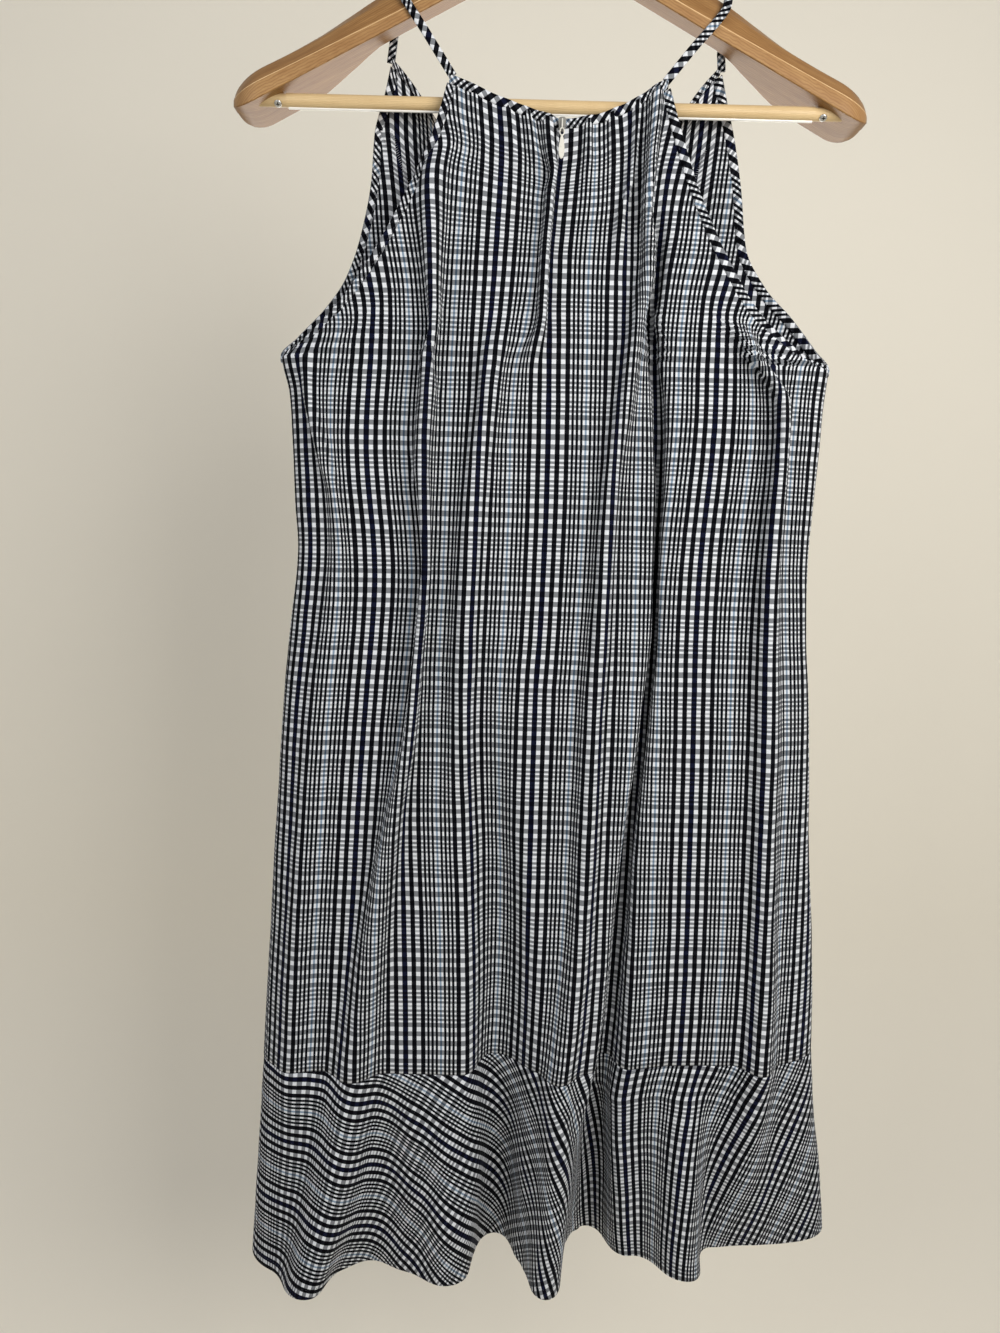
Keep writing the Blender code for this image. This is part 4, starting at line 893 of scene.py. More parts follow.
# %% [markdown]
# ## The grid of a panel
# The back is two panels joined by the seam that holds the zip, and the front is one. Their top and
# side edges run on inside the bindings that cover them, as they do on the real dress, where the
# binding is folded round the raw edge and stitched through. Cutting them off at the binding would
# leave a gap. The binding also presses the cloth, so the rows below it are ironed a little.

# %% Lay the grid of a panel
INSIDE_BINDING = 2.0
NECK_SINK_RUN = 30.0
SINK_FROM = 0.6
ROW_STEP = 5.0
COLUMN_STEP = 2.4
SIDE_GAP = 0.3
IRON_REACH = 10.0
PRESSED_RUN = 16.0


def panel_heights(layer):
    heights = [layer.top, ARMPIT_Z, SEAM_Z]
    rows = []
    for high, low in zip(heights, heights[1:]):
        count = max(2, round((high - low) / ROW_STEP))
        rows += [high + (low - high) * k / count for k in range(count)]
    return rows + [SEAM_Z]


def flat_columns(left, right, half):
    """Flat places from the left edge to the right one, closer together beside a short edge."""
    row = []
    if half <= 0:
        count = round(table_read(BACK_OUTLINE, "flat_left", SEAM_Z) / -COLUMN_STEP)
        row += list(np.linspace(left, 0.0, count))
    if half >= 0:
        count = round(table_read(BACK_OUTLINE, "flat_right", SEAM_Z) / COLUMN_STEP)
        row += list(np.linspace(0.0, right, count)[1 if row else 0:])
    return np.array(row)


def iron(line, reach):
    """A line with its small waves ironed out over some points each way. Its ends stay."""
    share = np.hanning(2 * reach + 3)[1:-1]
    before, after = 2 * line[0] - line[reach:0:-1], 2 * line[-1] - line[-2:-reach - 2:-1]
    longer = np.concatenate([before, line, after])
    return np.stack([np.convolve(longer[:, k], share / share.sum(), "valid") for k in range(3)], axis=-1)


def panel_grid(layer, half):
    """Points, outward directions and flat places of a panel. half is -1 left, 1 right, 0 whole."""
    points, normals, flats = [], [], []
    for z in panel_heights(layer):
        left, right = layer.edge(z, False), layer.edge(z, True)
        sink_left = sink_right = 0.0
        if z >= ARMPIT_Z:
            across, sink_left = (v * INSIDE_BINDING for v in layer.inward(z, False))
            left += across
            across, sink_right = (v * INSIDE_BINDING for v in layer.inward(z, True))
            right += across
        flat = flat_columns(left, right, half)
        row, out = layer.row(flat, z)
        share = flat / np.where(flat < 0, abs(left), right)
        beside = ease((np.abs(share) - SINK_FROM) / (1 - SINK_FROM))
        sink = np.where(share < 0, sink_left, sink_right) * beside
        sink = sink - INSIDE_BINDING * max(0.0, 1.0 - (layer.top - z) / NECK_SINK_RUN)
        row[:, 2] += sink
        pressed = float(ease(1 - (layer.top - z - BINDING_WIDTH) / PRESSED_RUN))
        row = row + pressed * (iron(row, round(IRON_REACH / COLUMN_STEP)) - row)
        if z < ARMPIT_Z:
            if half <= 0:
                row[0, 1] += layer.side * SIDE_GAP / 2
            if half >= 0:
                row[-1, 1] += layer.side * SIDE_GAP / 2
        points.append(row)
        normals.append(out)
        flats.append(np.stack([flat, z + sink], axis=-1))
    return np.array(points), np.array(normals), np.array(flats)


rows, columns, _ = panel_grid(back, -1)[0].shape
print("a grid of %d rows and %d columns for the back's left half" % (rows, columns))

# %% [markdown]
# ## Threads that hang even
# In the photograph the stripes hang in even lines, where the folds alone would make them wander. A
# real weave gives a little on the bias and so do these flat places: each is slid sideways on its
# own cloth, by a few millimetres at most, toward a straight line through the same thread above and
# below. Only the map changes, and the shape stays.

# %% Even the threads
EVEN_REACH = 75.0
EVEN_MOST = 8.0
EVEN_FADE = 40.0
SPREAD_LEAST = 0.5


def even_threads(points, flats):
    """Flat places slid toward straight lines fitted to each thread near each row, but not at the edges."""
    evened = flats.copy()
    for i, flat in enumerate(flats[:, :, 0]):
        sums = np.zeros((5, len(flat)))
        for row, other in zip(points, flats):
            rise = float(np.mean(other[:, 1] - flats[i][:, 1]))
            if abs(rise) < EVEN_REACH:
                weight = (1 - abs(rise) / EVEN_REACH) * ((flat >= other[0, 0]) & (flat <= other[-1, 0]))
                x = np.interp(flat, other[:, 0], row[:, 0])
                sums += weight * np.stack([x * 0 + 1, x * 0 + rise, x * 0 + rise ** 2, x, x * rise])
        count, rises, squares, xs, mixed = sums
        even = (squares * xs - rises * mixed) / np.maximum(count * squares - rises ** 2, 1e-6)
        spread = np.maximum(np.gradient(even, flat), SPREAD_LEAST)
        fade = ease(np.minimum(flat - flat[0], flat[-1] - flat) / EVEN_FADE)
        evened[i, :, 0] += fade * np.clip((points[i][:, 0] - even) / spread, -EVEN_MOST, EVEN_MOST)
    return evened


print("threads are evened over %.0f mm up and down" % EVEN_REACH)

# %% [markdown]
# ## The body panels
# Each panel is now a grid, evened, laid on the check and crumpled. The back's halves are cut as
# mirror images that meet at the middle seam, so the stripes run symmetrically from it.

# %% Cut and hang the body panels
PANEL_CRUMPLE = 0.7


def weave_place(flat, z, mirrored):
    """Place in the check, the same on both sides of the middle seam where the cut is mirrored."""
    across = (np.abs(flat) - BLUE_FROM_SEAM) / REPEAT if mirrored else flat / REPEAT
    return np.stack([across, (z - WEFT_BLUE_Z) / WEFT_REPEAT], axis=-1)


def add_panel(name, layer, half, seed):
    points, normals, flats = panel_grid(layer, half)
    flats = even_threads(points, flats)
    places = weave_place(flats[..., 0], flats[..., 1], layer is back)
    crumple(points, normals, places, seed, PANEL_CRUMPLE)
    return add_cloth(name, points, places, check_cloth)


panels = {"back_left": add_panel("cloth_back_left", back, -1, 1.0),
          "back_right": add_panel("cloth_back_right", back, 1, 1.0),
          "front": add_panel("cloth_front", front, 0, 5.0)}
print({name: len(panel.data.vertices) for name, panel in panels.items()})

# %% [markdown]
# ## The flounces
# A flounce is cut from a ring of cloth, so its lower edge is longer than the seam it hangs from
# and falls in flutes. A straight strip gathered at the seam would do that too, but its check would
# stay upright. Here the check runs straight across the ring, and so it shows upright in one place,
# slanting in the next and lying flat a quarter of a turn away, as in the photograph.

# %% Cut and hang the flounces
PATTERN_RADIUS = 237.0
FLOUNCE_STEP = 4.0
FLOUNCE_CRUMPLE = 0.6
UPRIGHT_AT = 150.0

# The narrow hem: how far up, how far inside and how much cloth below the edge, in millimetres
HEM_TURN = ((-0.3, 0.35, 0.5), (0.1, 0.7, 1.0), (2.0, 0.7, 3.0), (4.5, 0.7, 5.5), (7.0, 0.7, 8.0))


def flounce_grid(layer, seam_layer, step):
    rows = round(FLOUNCE_DEPTH / step) + 1
    columns = round((layer.edge(0, True) - layer.edge(0, False)) / COLUMN_STEP)
    share = np.linspace(-1, 1, columns)
    drops = np.linspace(0, -FLOUNCE_DEPTH, rows)
    points, normals, flats = [], [], []
    for drop in drops:
        flat = np.where(share < 0, -share * layer.edge(drop, False), share * layer.edge(drop, True))
        row, out = layer.row(flat, drop)
        if points:
            moved = np.hypot(row[:, 0] - points[-1][:, 0], row[:, 1] - points[-1][:, 1])
            length = drops[0] - drops[1]
            row[:, 2] = points[-1][:, 2] - np.sqrt(np.maximum(length ** 2 - moved ** 2, (0.5 * length) ** 2))
        else:
            row[:, 2] = seam_layer.row(flat, SEAM_Z)[0][:, 2]
        points.append(row)
        normals.append(out)
        flats.append(np.stack([flat, np.full_like(flat, drop)], axis=-1))
    return np.array(points), np.array(normals), np.array(flats)


def ring_place(flat, drop, turn):
    angle = (flat - turn) / PATTERN_RADIUS
    radius = PATTERN_RADIUS - drop
    return np.stack([radius * np.sin(angle) / REPEAT, -radius * np.cos(angle) / WEFT_REPEAT], axis=-1)


def turn_up_hem(points, normals, flats):
    """Carries the grid round the lower edge and a little way up inside, as a narrow hem is turned."""
    low, out = points[-1], normals[-1]
    step = (points[-2] - points[-1]) / np.linalg.norm(points[-2] - points[-1], axis=-1)[:, None]
    rows, ways, places = [], [], []
    for up, inside, run in HEM_TURN:
        rows.append(low + step * up - out * inside)
        ways.append(-out)
        places.append(flats[-1] - np.array([0.0, run]))
    return np.concatenate([points, rows]), np.concatenate([normals, ways]), np.concatenate([flats, places])


def add_flounce(name, layer, seam_layer, turn, seed):
    points, normals, flats = flounce_grid(layer, seam_layer, FLOUNCE_STEP)
    places = ring_place(flats[..., 0], flats[..., 1], turn)
    crumple(points, normals, places, seed, FLOUNCE_CRUMPLE)
    points, normals, flats = turn_up_hem(points, normals, flats)
    return add_cloth(name, points, ring_place(flats[..., 0], flats[..., 1], turn), check_cloth)


flounces = {"back_flounce": add_flounce("cloth_back_flounce", back_hem, back, UPRIGHT_AT, 11.0),
            "front_flounce": add_flounce("cloth_front_flounce", front_hem, front, -UPRIGHT_AT, 15.0)}
print({name: len(flounce.data.vertices) for name, flounce in flounces.items()})

# %% [markdown]
# ## Folding a bias strip
# The neck and armhole edges are finished with bias strips: bands cut at 45 degrees from the same
# check, folded over the raw edge. Their stripes slant, and they are round-edged and slightly
# puffed. A flat ribbon would show no edge, so each band is a tube with a rounded flat section, and
# its map is the flat strip that a maker would cut.

# %% Fold a bias strip
RING = 12
PUFF = 0.25
STRIP_WALL = 0.3


def band_ring(top, low, out, thickness):
    """Points round one section of a folded band, and how far across its width each one lies."""
    centre, half = (top + low) / 2, (top - low) / 2
    ring = []
    for i in range(RING):
        turn = 2 * math.pi * i / RING
        c, s = math.cos(turn), math.sin(turn)
        flatter = math.copysign(abs(c) ** 0.7, c)
        puffed = math.copysign(abs(s) ** 0.6, s) * (thickness / 2 + PUFF * abs(s))
        ring.append((centre + half * flatter + out * puffed, (1 + flatter) * float(np.linalg.norm(half))))
    return ring


def run_along(points):
    """How far along a line each of its points is."""
    steps = np.linalg.norm(np.diff(np.array(points, float), axis=0), axis=1)
    return np.concatenate([[0], np.cumsum(steps)])


def bias_place(along, around):
    """A bias strip is cut at 45 degrees, so its two directions are the check's, turned."""
    turned = math.sqrt(0.5)
    return (turned * (along - around) / REPEAT, turned * (along + around) / WEFT_REPEAT)


def tube_faces(rings, sides, first=0, capped=True):
    """Faces round a tube. They look outward if its rings turn clockwise, seen from its last ring."""
    faces = []
    for j in range(rings - 1):
        for i in range(sides):
            k = (i + 1) % sides
            a, b = first + j * sides, first + (j + 1) * sides
            faces.append((a + i, b + i, b + k, a + k))
    if capped:
        faces.append(tuple(first + i for i in range(sides)))
        faces.append(tuple(first + (rings - 1) * sides + i for i in reversed(range(sides))))
    return faces


def add_band(name, tops, lows, outs, thickness, start=0.0, lean=1):
    """A folded band through sections given by a top point, a low point and an outward direction."""
    verts, uvs, far = [], [], start
    for j, (top, low, out) in enumerate(zip(tops, lows, outs)):
        if j:
            far += float(np.linalg.norm((top + low) / 2 - (tops[j - 1] + lows[j - 1]) / 2))
        for i, (point, across) in enumerate(band_ring(top, low, out, thickness)):
            verts.append(point)
            uvs.append(bias_place(far, lean * (across if i <= RING / 2 else -across)))
    obj = add_mesh(name, verts, tube_faces(len(tops), RING, capped=False), check_cloth, uvs)
    obj.data.set_sharp_from_angle(angle=math.radians(60))
    wall = obj.modifiers.new("strip_wall", "SOLIDIFY")
    wall.thickness = STRIP_WALL * MM
    wall.offset = -1.0
    round_it = run_along(verts[:RING] + verts[:1])[-1]
    print("%-24s a strip %.1f mm wide all round and %.0f mm long" % (name, round_it, far - start))
    return obj


print("a ring of %d points round each section" % RING)

# %% [markdown]
# ## The neck's bindings
# The binding draws the gathered neck edge up to an even line, so the edge is ironed before the
# strip is folded over it. Stitching makes a strip swell a little between its stitches. At the zip
# the right end stands slightly above the left one, as it does on a dress that was worn.

# %% Bind the neck
NECK_STEP = 2.0
ZIP_END_LIFT = 2.2
ZIP_END_RUN = 9.0
STRIP_PUFF = BINDING_WALL - 0.4
PUCKER_STEP = 0.55
NECK_PUCKER = 0.2


def puckers(count, seed):
    """Small uneven swellings along a stitched band."""
    return np.array([noise.noise(Vector((i * PUCKER_STEP, seed, 0.0))) for i in range(count)])


def neck_edge(layer, half):
    """Flat places, points and outward directions along a neck edge, pressed even by its binding."""
    left, right = layer.edge(layer.top, False), layer.edge(layer.top, True)
    left, right = left if half <= 0 else 0.0, right if half >= 0 else 0.0
    flat = np.linspace(left, right, round((right - left) / NECK_STEP))
    row, outs = (iron(line, round(IRON_REACH / NECK_STEP)) for line in layer.row(flat, layer.top))
    return flat, row, outs / np.linalg.norm(outs, axis=1)[:, None]


def neck_band(name, layer, half, seed):
    flat, tops, outs = neck_edge(layer, half)
    lows = tops - np.array([0.0, 0.0, BINDING_WIDTH])
    wave = puckers(len(flat), seed)[:, None] * outs * NECK_PUCKER
    if half > 0:
        # Where the zip opens, the right end stands a little above the left one
        wave[:, 2] += ZIP_END_LIFT * np.exp(-flat / ZIP_END_RUN)
    return add_band(name, tops + wave, lows + wave, outs, STRIP_PUFF)


bindings = {"neck_binding_back_left": neck_band("binding_neck_back_left", back, -1, 3.0),
            "neck_binding_back_right": neck_band("binding_neck_back_right", back, 1, 4.0),
            "neck_binding_front": neck_band("binding_neck_front", front, 0, 5.0)}

# %% [markdown]
# ## The armholes' bindings
# One strip runs down the back's armhole edge, round under the arm and up the front's. Its sections
# are taken from the two layers, closer together toward the underarm, where the edge turns. The
# strips' stripes lean alike on both sides, because a maker cuts all of them the same way.

# %% Bind the armholes
ARMHOLE_START = 5.5
ARMHOLE_STEP = 2.5
CLOSER = 1.5
ARMHOLE_PUCKER = 0.35


def armhole_sections(layer, right):
    """Edge points, inner points and outward directions down a layer's armhole edge."""
    top = layer.top - ARMHOLE_START
    count = round((top - ARMPIT_Z) / ARMHOLE_STEP)
    share = np.linspace(0.0, 1.0, count)
    zs = top + (ARMPIT_Z - top) * (1 - (1 - share) ** CLOSER)
    edge, inner, outs = [], [], []
    for z in zs:
        point, out = layer.armhole_point(z, right, 0.0)
        inset, _ = layer.armhole_point(z, right, BINDING_WIDTH)
        edge.append(point)
        inner.append(inset)
        outs.append(out)
    return edge, inner, outs


def round_armhole(right):
    """The same, down the back's edge, round under the arm and up the front's."""
    down = armhole_sections(back, right)
    up = [list(reversed(part))[1:] for part in armhole_sections(front, right)]
    return (np.array(a + b) for a, b in zip(down, up))


def armhole_band(name, right, seed):
    tops, lows, outs = round_armhole(right)
    wave = puckers(len(tops), seed)[:, None] * outs * ARMHOLE_PUCKER
    return add_band(name, tops + wave, lows + wave, outs, STRIP_PUFF, 0.0, 1 if right else -1)


bindings["armhole_binding_left"] = armhole_band("binding_armhole_left", False, 6.0)
bindings["armhole_binding_right"] = armhole_band("binding_armhole_right", True, 7.0)
print("bindings:", len(bindings))

# %% [markdown]
# ## The straps
# A strap is the same bias strip, folded on itself and stitched. It runs from the back's corner over
# the hanger's arm to the front's corner, and both ends go on into the bindings that hold them. Its
# route is a short list of points, and a smooth curve through them is cut into even steps.

# %% Lay the straps over the hanger
STRAP_WIDTH = 5.8
STRAP_PUFF = 1.3

# Strap routes from the back's corner over the arm to the front's corner, and the direction of
# the strap's width at both ends
STRAP_ROUTES = {
    "strap_left": ([(-71.5, -13, -171.5), (-85, -12.6, -151.5), (-97.5, -12, -133.5),
                    (-102.5, -11.2, -126), (-104.5, -7.0, -115.0), (-105.5, -1.0, -111.8),
                    (-106.5, 6.0, -113.5), (-107.5, 9.8, -119.5), (-109.5, 11.5, -132),
                    (-111, 12.6, -144), (-112, 13, -151.5)],
                   (0.84, 0, 0.54), (1.0, 0, 0.05)),
    "strap_right": ([(82, -13, -172), (96, -12.6, -154.5), (109, -12, -139.5),
                     (116, -11.4, -130), (118.5, -7.5, -121.5), (119.5, -1.0, -118.6),
                     (120.0, 6.0, -120.5), (120.0, 10.4, -127), (119.5, 11.6, -136),
                     (119, 12.6, -146), (119.5, 13, -151.5)],
                    (0.77, 0, -0.64), (1.0, 0, -0.05)),
}
STRAP_STEPS = 70
STRAP_TUCK = 7.0


def smooth_route(points, count):
    """Evenly placed points on a smooth curve through the route's own points."""
    points = np.array(points, float)
    ends = np.vstack([2 * points[0] - points[1], points, 2 * points[-1] - points[-2]])
    dense = []
    for i in range(1, len(ends) - 2):
        for t in np.linspace(0, 1, 12, endpoint=False):
            a, b, c, d = ends[i - 1], ends[i], ends[i + 1], ends[i + 2]
            dense.append(0.5 * (2 * b + (c - a) * t + (2 * a - 5 * b + 4 * c - d) * t * t
                                + (3 * b - a - 3 * c + d) * t ** 3))
    dense.append(points[-1])
    dense = np.array(dense)
    far = run_along(dense)
    wanted = np.linspace(0, far[-1], count)
    return np.stack([np.interp(wanted, far, dense[:, k]) for k in range(3)], axis=-1)


def carried_on(route):
    """A strap's route carried on at both ends, into the bindings that it is sewn to."""
    points = [Vector(point) for point in route]
    first = points[0] + (points[0] - points[1]).normalized() * STRAP_TUCK
    last = points[-1] + (points[-1] - points[-2]).normalized() * STRAP_TUCK
    return [tuple(first)] + list(route) + [tuple(last)]


def strap_band(name, seed):
    route, width_start, width_end = STRAP_ROUTES[name]
    line = smooth_route(carried_on(route), STRAP_STEPS)
    along = np.gradient(line, axis=0)
    along /= np.linalg.norm(along, axis=1)[:, None]
    share = np.linspace(0, 1, STRAP_STEPS)[:, None]
    width = np.array(width_start) * (1 - share) + np.array(width_end) * share
    width -= along * np.sum(width * along, axis=1)[:, None]
    width /= np.linalg.norm(width, axis=1)[:, None]
    out = np.cross(width, along)
    half = width * STRAP_WIDTH / 2
    return add_band("cloth_" + name, line + half, line - half, out, STRAP_PUFF, seed)


straps = {name: strap_band(name, seed) for name, seed in zip(STRAP_ROUTES, (10.0, 31.0))}
print("strap sections:", STRAP_STEPS)

# %% [markdown]
# ## Wood with its grain
# The hanger is beech, and its bar is a paler dowel. The grain runs along each arm: long streaks with
# fine dark pores, under a thin varnish with a soft sheen. A photograph of wood would repeat or
# stretch, so noise that is stretched along the piece's own map draws the grain.

# %% Finish the woods
GRAIN = 60.0


def wood_colour(tree, place, pale, dark, line, stretch):
    """Long streaks along the first direction of the map, with fine dark pores."""
    stretched = add_node(tree, "ShaderNodeMapping", i0=place)
    stretched.inputs["Scale"].default_value = (1.0, stretch, stretch)
    streaks = add_node(tree, "ShaderNodeTexNoise", Vector=stretched.outputs[0], Scale=6.0, Detail=6.0,
                       Roughness=0.6, Distortion=0.4)
    rings = add_node(tree, "ShaderNodeTexWave", [("bands_direction", "Y")], Vector=place, Scale=9.0,
                     Distortion=5.0, Detail=3.0)
    broad = add_node(tree, "ShaderNodeMapping", i0=place)
    broad.inputs["Scale"].default_value = (0.6, stretch / 3, stretch / 3)
    cloudy = add_node(tree, "ShaderNodeTexNoise", Vector=broad.outputs[0], Scale=2.0, Detail=2.0)
    share = math_node(tree, "ADD", streaks.outputs["Fac"], cloudy.outputs["Fac"])
    tone = mix_colours(tree, map_range(tree, share, 0.72, 1.28), pale, dark)
    lines = map_range(tree, rings.outputs["Fac"], 0.5, 1.0, 0.0, 0.5)
    return mix_colours(tree, lines, tone, line), streaks.outputs["Fac"]


def make_wood(name, pale, dark, line, roughness, stretch=14.0):
    material, tree, shader = new_material(name, roughness, Specular_IOR_Level=0.25, Coat_Weight=0.1,
                                          Coat_Roughness=0.35)
    place = flat_place(tree)
    colour, height = wood_colour(tree, place, pale, dark, line, stretch)
    paint(tree, shader, colour)
    add_bump(tree, shader, height, 0.12, 0.4 * MM)
    return material


# Each wood's pale and dark streaks and its pores, how rough it is and how fine its streaks are
WOODS = {
    "beech_wood": ((0.31, 0.166, 0.056), (0.20, 0.092, 0.026), (0.13, 0.056, 0.014), 0.45),
    # The front face's wood: paler partly for its end grain and partly as painted light on that face
    "beech_bevel_grain_and_light": ((0.37, 0.212, 0.083), (0.265, 0.132, 0.045), (0.18, 0.085, 0.026), 0.5, 5.0),
    # The ridge's flat: a painted highlight, paler than any of the wood, with some rubbed wear in it
    "beech_ridge_highlight_and_wear": ((0.68, 0.47, 0.25), (0.50, 0.31, 0.14), (0.38, 0.21, 0.08), 0.35),
    "pale_dowel": ((0.64, 0.48, 0.26), (0.54, 0.38, 0.19), (0.39, 0.26, 0.115), 0.42),
}
beech, beech_bevel_grain_and_light, ridge_highlight_and_wear, dowel_wood = (make_wood(name, *finish) for name, finish in WOODS.items())
print("woods:", list(WOODS))

# %% [markdown]
# ## The hanger's arms
# A contoured suit hanger is cut from thick stock, so that its arms widen to rounded ends. It is
# lofted through sections, one at each distance from the middle, because its thickness, its slope
# and its bevels all change along an arm. The front bevel cuts across the grain and is painted paler,
# partly for its end grain and partly as painted light on the face turned to the camera. The ridge
# above it is a narrow flat painted bright: a painted highlight, with some rubbed wear.

# %% Loft the arms
HANGER_HALF = 222.0
HANGER_END_START = 200.0

# Hanger sections, one row a distance from the middle: the underside, the ridge along the front
# and the crest of the wood (z), and its front and rear faces (y)
HANGER_COLUMNS = ("x", "under", "ridge", "crest", "front", "rear")
HANGER_SECTIONS = (HANGER_COLUMNS, [
    (0, -92, -81, -63, -10, 8), (10, -94, -84, -66, -10, 8), (40, -109, -102, -81.5, -10, 8),
    (80, -130, -122.5, -102, -10, 8), (115, -148.5, -140, -120.5, -10, 8),
    (140, -161.7, -152.5, -133.5, -10.5, 21), (165, -175, -165, -146.5, -11, 34),
    (185, -185.5, -175, -157, -11.5, 36), (200, -193.5, -182.5, -164.5, -12, 36),
    (HANGER_HALF, -205, -193.5, -176, -12, 36),
])

# How steeply an arm falls, how much longer it is for that, and how wide the ridge's narrow flat is, which
# carries the painted highlight
ARM_SLOPE = 0.53
ARM_STRETCH = 1.13
RIDGE_FLAT_WIDTH = 0.4
EDGE_ANGLE = math.radians(24)


def hanger_read(name, x):
    return table_read(HANGER_SECTIONS, name, abs(x))


def hanger_section(x):
    """The wood's outline across an arm, eight points round, drawn in toward its rounded end."""
    under, ridge, crest, front, rear = (hanger_read(name, x) for name in HANGER_COLUMNS[1:])
    crest_y = front + 0.42 * (rear - front)
    rise = crest - ridge
    outline = [(front, under), (front, ridge), (front + 0.16 * (rear - front), ridge + 0.62 * rise),
               (crest_y, crest), (rear - 0.22 * (rear - front), crest - 0.12 * rise),
               (rear, ridge + 0.35 * rise), (rear, under + 2.5), (rear - 2.0, under)]
    over = max(0.0, abs(x) - HANGER_END_START) / (HANGER_HALF - HANGER_END_START + 0.6)
    shrink = math.sqrt(max(0.0, 1 - over * over))
    middle_y, middle_z = (front + rear) / 2, (under + crest) / 2 + 2.0
    return [(x, middle_y + (y - middle_y) * shrink, middle_z + (z - middle_z) * shrink) for y, z in outline]


def ridge_highlight_flat(section):
    """The section with the ridge above its front face cut to a narrow flat, for a painted highlight with some
    rubbed wear.
    """
    low, ridge, high = (np.array(p) for p in section[:3])
    flat = [ridge + (end - ridge) * RIDGE_FLAT_WIDTH / max(np.linalg.norm(end - ridge), RIDGE_FLAT_WIDTH) for end in (low, high)]
    return [section[0], *(tuple(p) for p in flat), *section[2:]]


def soften_edges(piece, width, angle):
    """Rounds the edges that turn by more than an angle."""
    edge = piece.modifiers.new("softened_edges", "BEVEL")
    edge.width = width * MM
    edge.segments = 3
    edge.limit_method = "ANGLE"
    edge.angle_limit = angle


def add_arms():
    """Both arms as one lofted solid with small rounded edges."""
    stations = list(range(0, 192, 8)) + list(range(192, 216, 3)) + [217, 219, 220.5, 221.4, HANGER_HALF]
    xs = [-x for x in reversed(stations[1:])] + stations
    sections = [ridge_highlight_flat(hanger_section(x)) for x in xs]
    sides = len(sections[0])
    verts = [p for section in sections for p in section]
    faces = tube_faces(len(sections), sides, capped=False)
    # The two small end faces look inward, or the bevel would round all of the edges less
    last = (len(sections) - 1) * sides
    faces += [tuple(reversed(range(sides))), tuple(range(last, last + sides))]
    uvs = [(x * ARM_STRETCH / GRAIN, (y + z + ARM_SLOPE * abs(x)) / GRAIN) for x, y, z in verts]
    arms = add_mesh("wood_arms", verts, faces, beech, uvs)
    arms.data.materials.append(beech_bevel_grain_and_light)
    arms.data.materials.append(ridge_highlight_and_wear)
    for j, face in enumerate(arms.data.polygons):
        if j < len(faces) - 2:
            # Face 0, the front face, takes the paler wood that is partly painted light; face 1, the ridge's
            # flat, takes the painted highlight
            face.material_index = {0: 1, 1: 2}.get(j % sides, 0)
    arms.data.set_sharp_from_angle(angle=EDGE_ANGLE)
    soften_edges(arms, 1.0, EDGE_ANGLE)
    return arms


arms = add_arms()
print("points of the arms:", len(arms.data.vertices))

# %% [markdown]
# ## Wire, dowels and other round parts
# The hook, the bar, the zip's bridge and the pull's loop are all round in section. A curve with a
# bevel would do for wire, but not for shoulders and rounded ends, so one helper sweeps a ring of
# points along a path, and the ring's size may change on the way.

# %% Sweep round parts


def sweep_rings(path, radii, sides):
    """Points of a ring at each place of a path, carried along it without twisting."""
    path = np.array(path, float)
    radii = np.broadcast_to(radii, len(path))
    along = np.gradient(path, axis=0)
    along /= np.linalg.norm(along, axis=1)[:, None]
    side = np.array((0.0, 1.0, 0.0)) if abs(along[0][1]) < 0.9 else np.array((1.0, 0.0, 0.0))
    rings = []
    for centre, radius, direction in zip(path, radii, along):
        side = side - direction * side.dot(direction)
        side /= np.linalg.norm(side)
        other = np.cross(side, direction)
        for i in range(sides):
            turn = 2 * math.pi * i / sides
            rings.append(centre + radius * (side * math.cos(turn) + other * math.sin(turn)))
    return rings


def add_tube(name, path, radii, material, sides=24, sharp=50):
    """A round bar or wire. Its map runs along it and half round it, so it has no seam."""
    verts = sweep_rings(path, radii, sides)
    far = run_along(path)
    uvs = [(far[j] / GRAIN, abs(1 - 2 * i / sides) * 0.5) for j in range(len(path)) for i in range(sides)]
    tube = add_mesh(name, verts, tube_faces(len(path), sides), material, uvs)
    tube.data.set_sharp_from_angle(angle=math.radians(sharp))
    return tube


print("faces of a short wire:", len(tube_faces(3, 6)))

# %% [markdown]
# ## The hook
# The photograph's upper edge hides the hook, so it is the plain round one that most such hangers
# have: bright steel wire, up from the wood, out to the left and over the top. Its path is a list of
# angles, smoothed, and its tip is rounded off by making the last rings smaller.

# %% Bend the hook
HOOK_WIRE = 2.0
HOOK_RADIUS = 18.0
HOOK_STARTS = 232
HOOK_ENDS = -44
WIRE_STEP = 5
WIRE_PLACES = 120


def make_metal(name, colour, roughness, grain, bump):
    """Metal with fine uneven polish. grain is how fine it is, in waves to a metre."""
    material, tree, shader = new_material(name, roughness, 1.0, colour)
    place = solid_place(tree)
    worn = add_node(tree, "ShaderNodeTexNoise", Vector=place, Scale=grain, Detail=4.0)
    rough = map_range(tree, worn.outputs["Fac"], 0.3, 0.7, roughness * 0.7, roughness * 1.5)
    tree.links.new(rough, shader.inputs["Roughness"])
    paint(tree, shader, mix_colours(tree, worn.outputs["Fac"], tuple(c * 0.82 for c in colour), colour))
    add_bump(tree, shader, worn.outputs["Fac"], bump, 0.1 * MM)
    return material


def hook_line():
    """Up the shank, out to the left and over the top, in the hanger's plane."""
    reach = HOOK_RADIUS + HOOK_WIRE
    line = [(0.0, 0.0, -72.0), (0.0, 0.0, -62.4), (0.0, 0.0, -52.0), (-1.0, 0.0, -46.0)]
    for degrees in range(HOOK_STARTS, HOOK_ENDS, -WIRE_STEP):
        turn = math.radians(degrees)
        line.append((reach * math.cos(turn), 0.0, reach * math.sin(turn) - HOOK_RADIUS))
    return smooth_route(line, WIRE_PLACES)


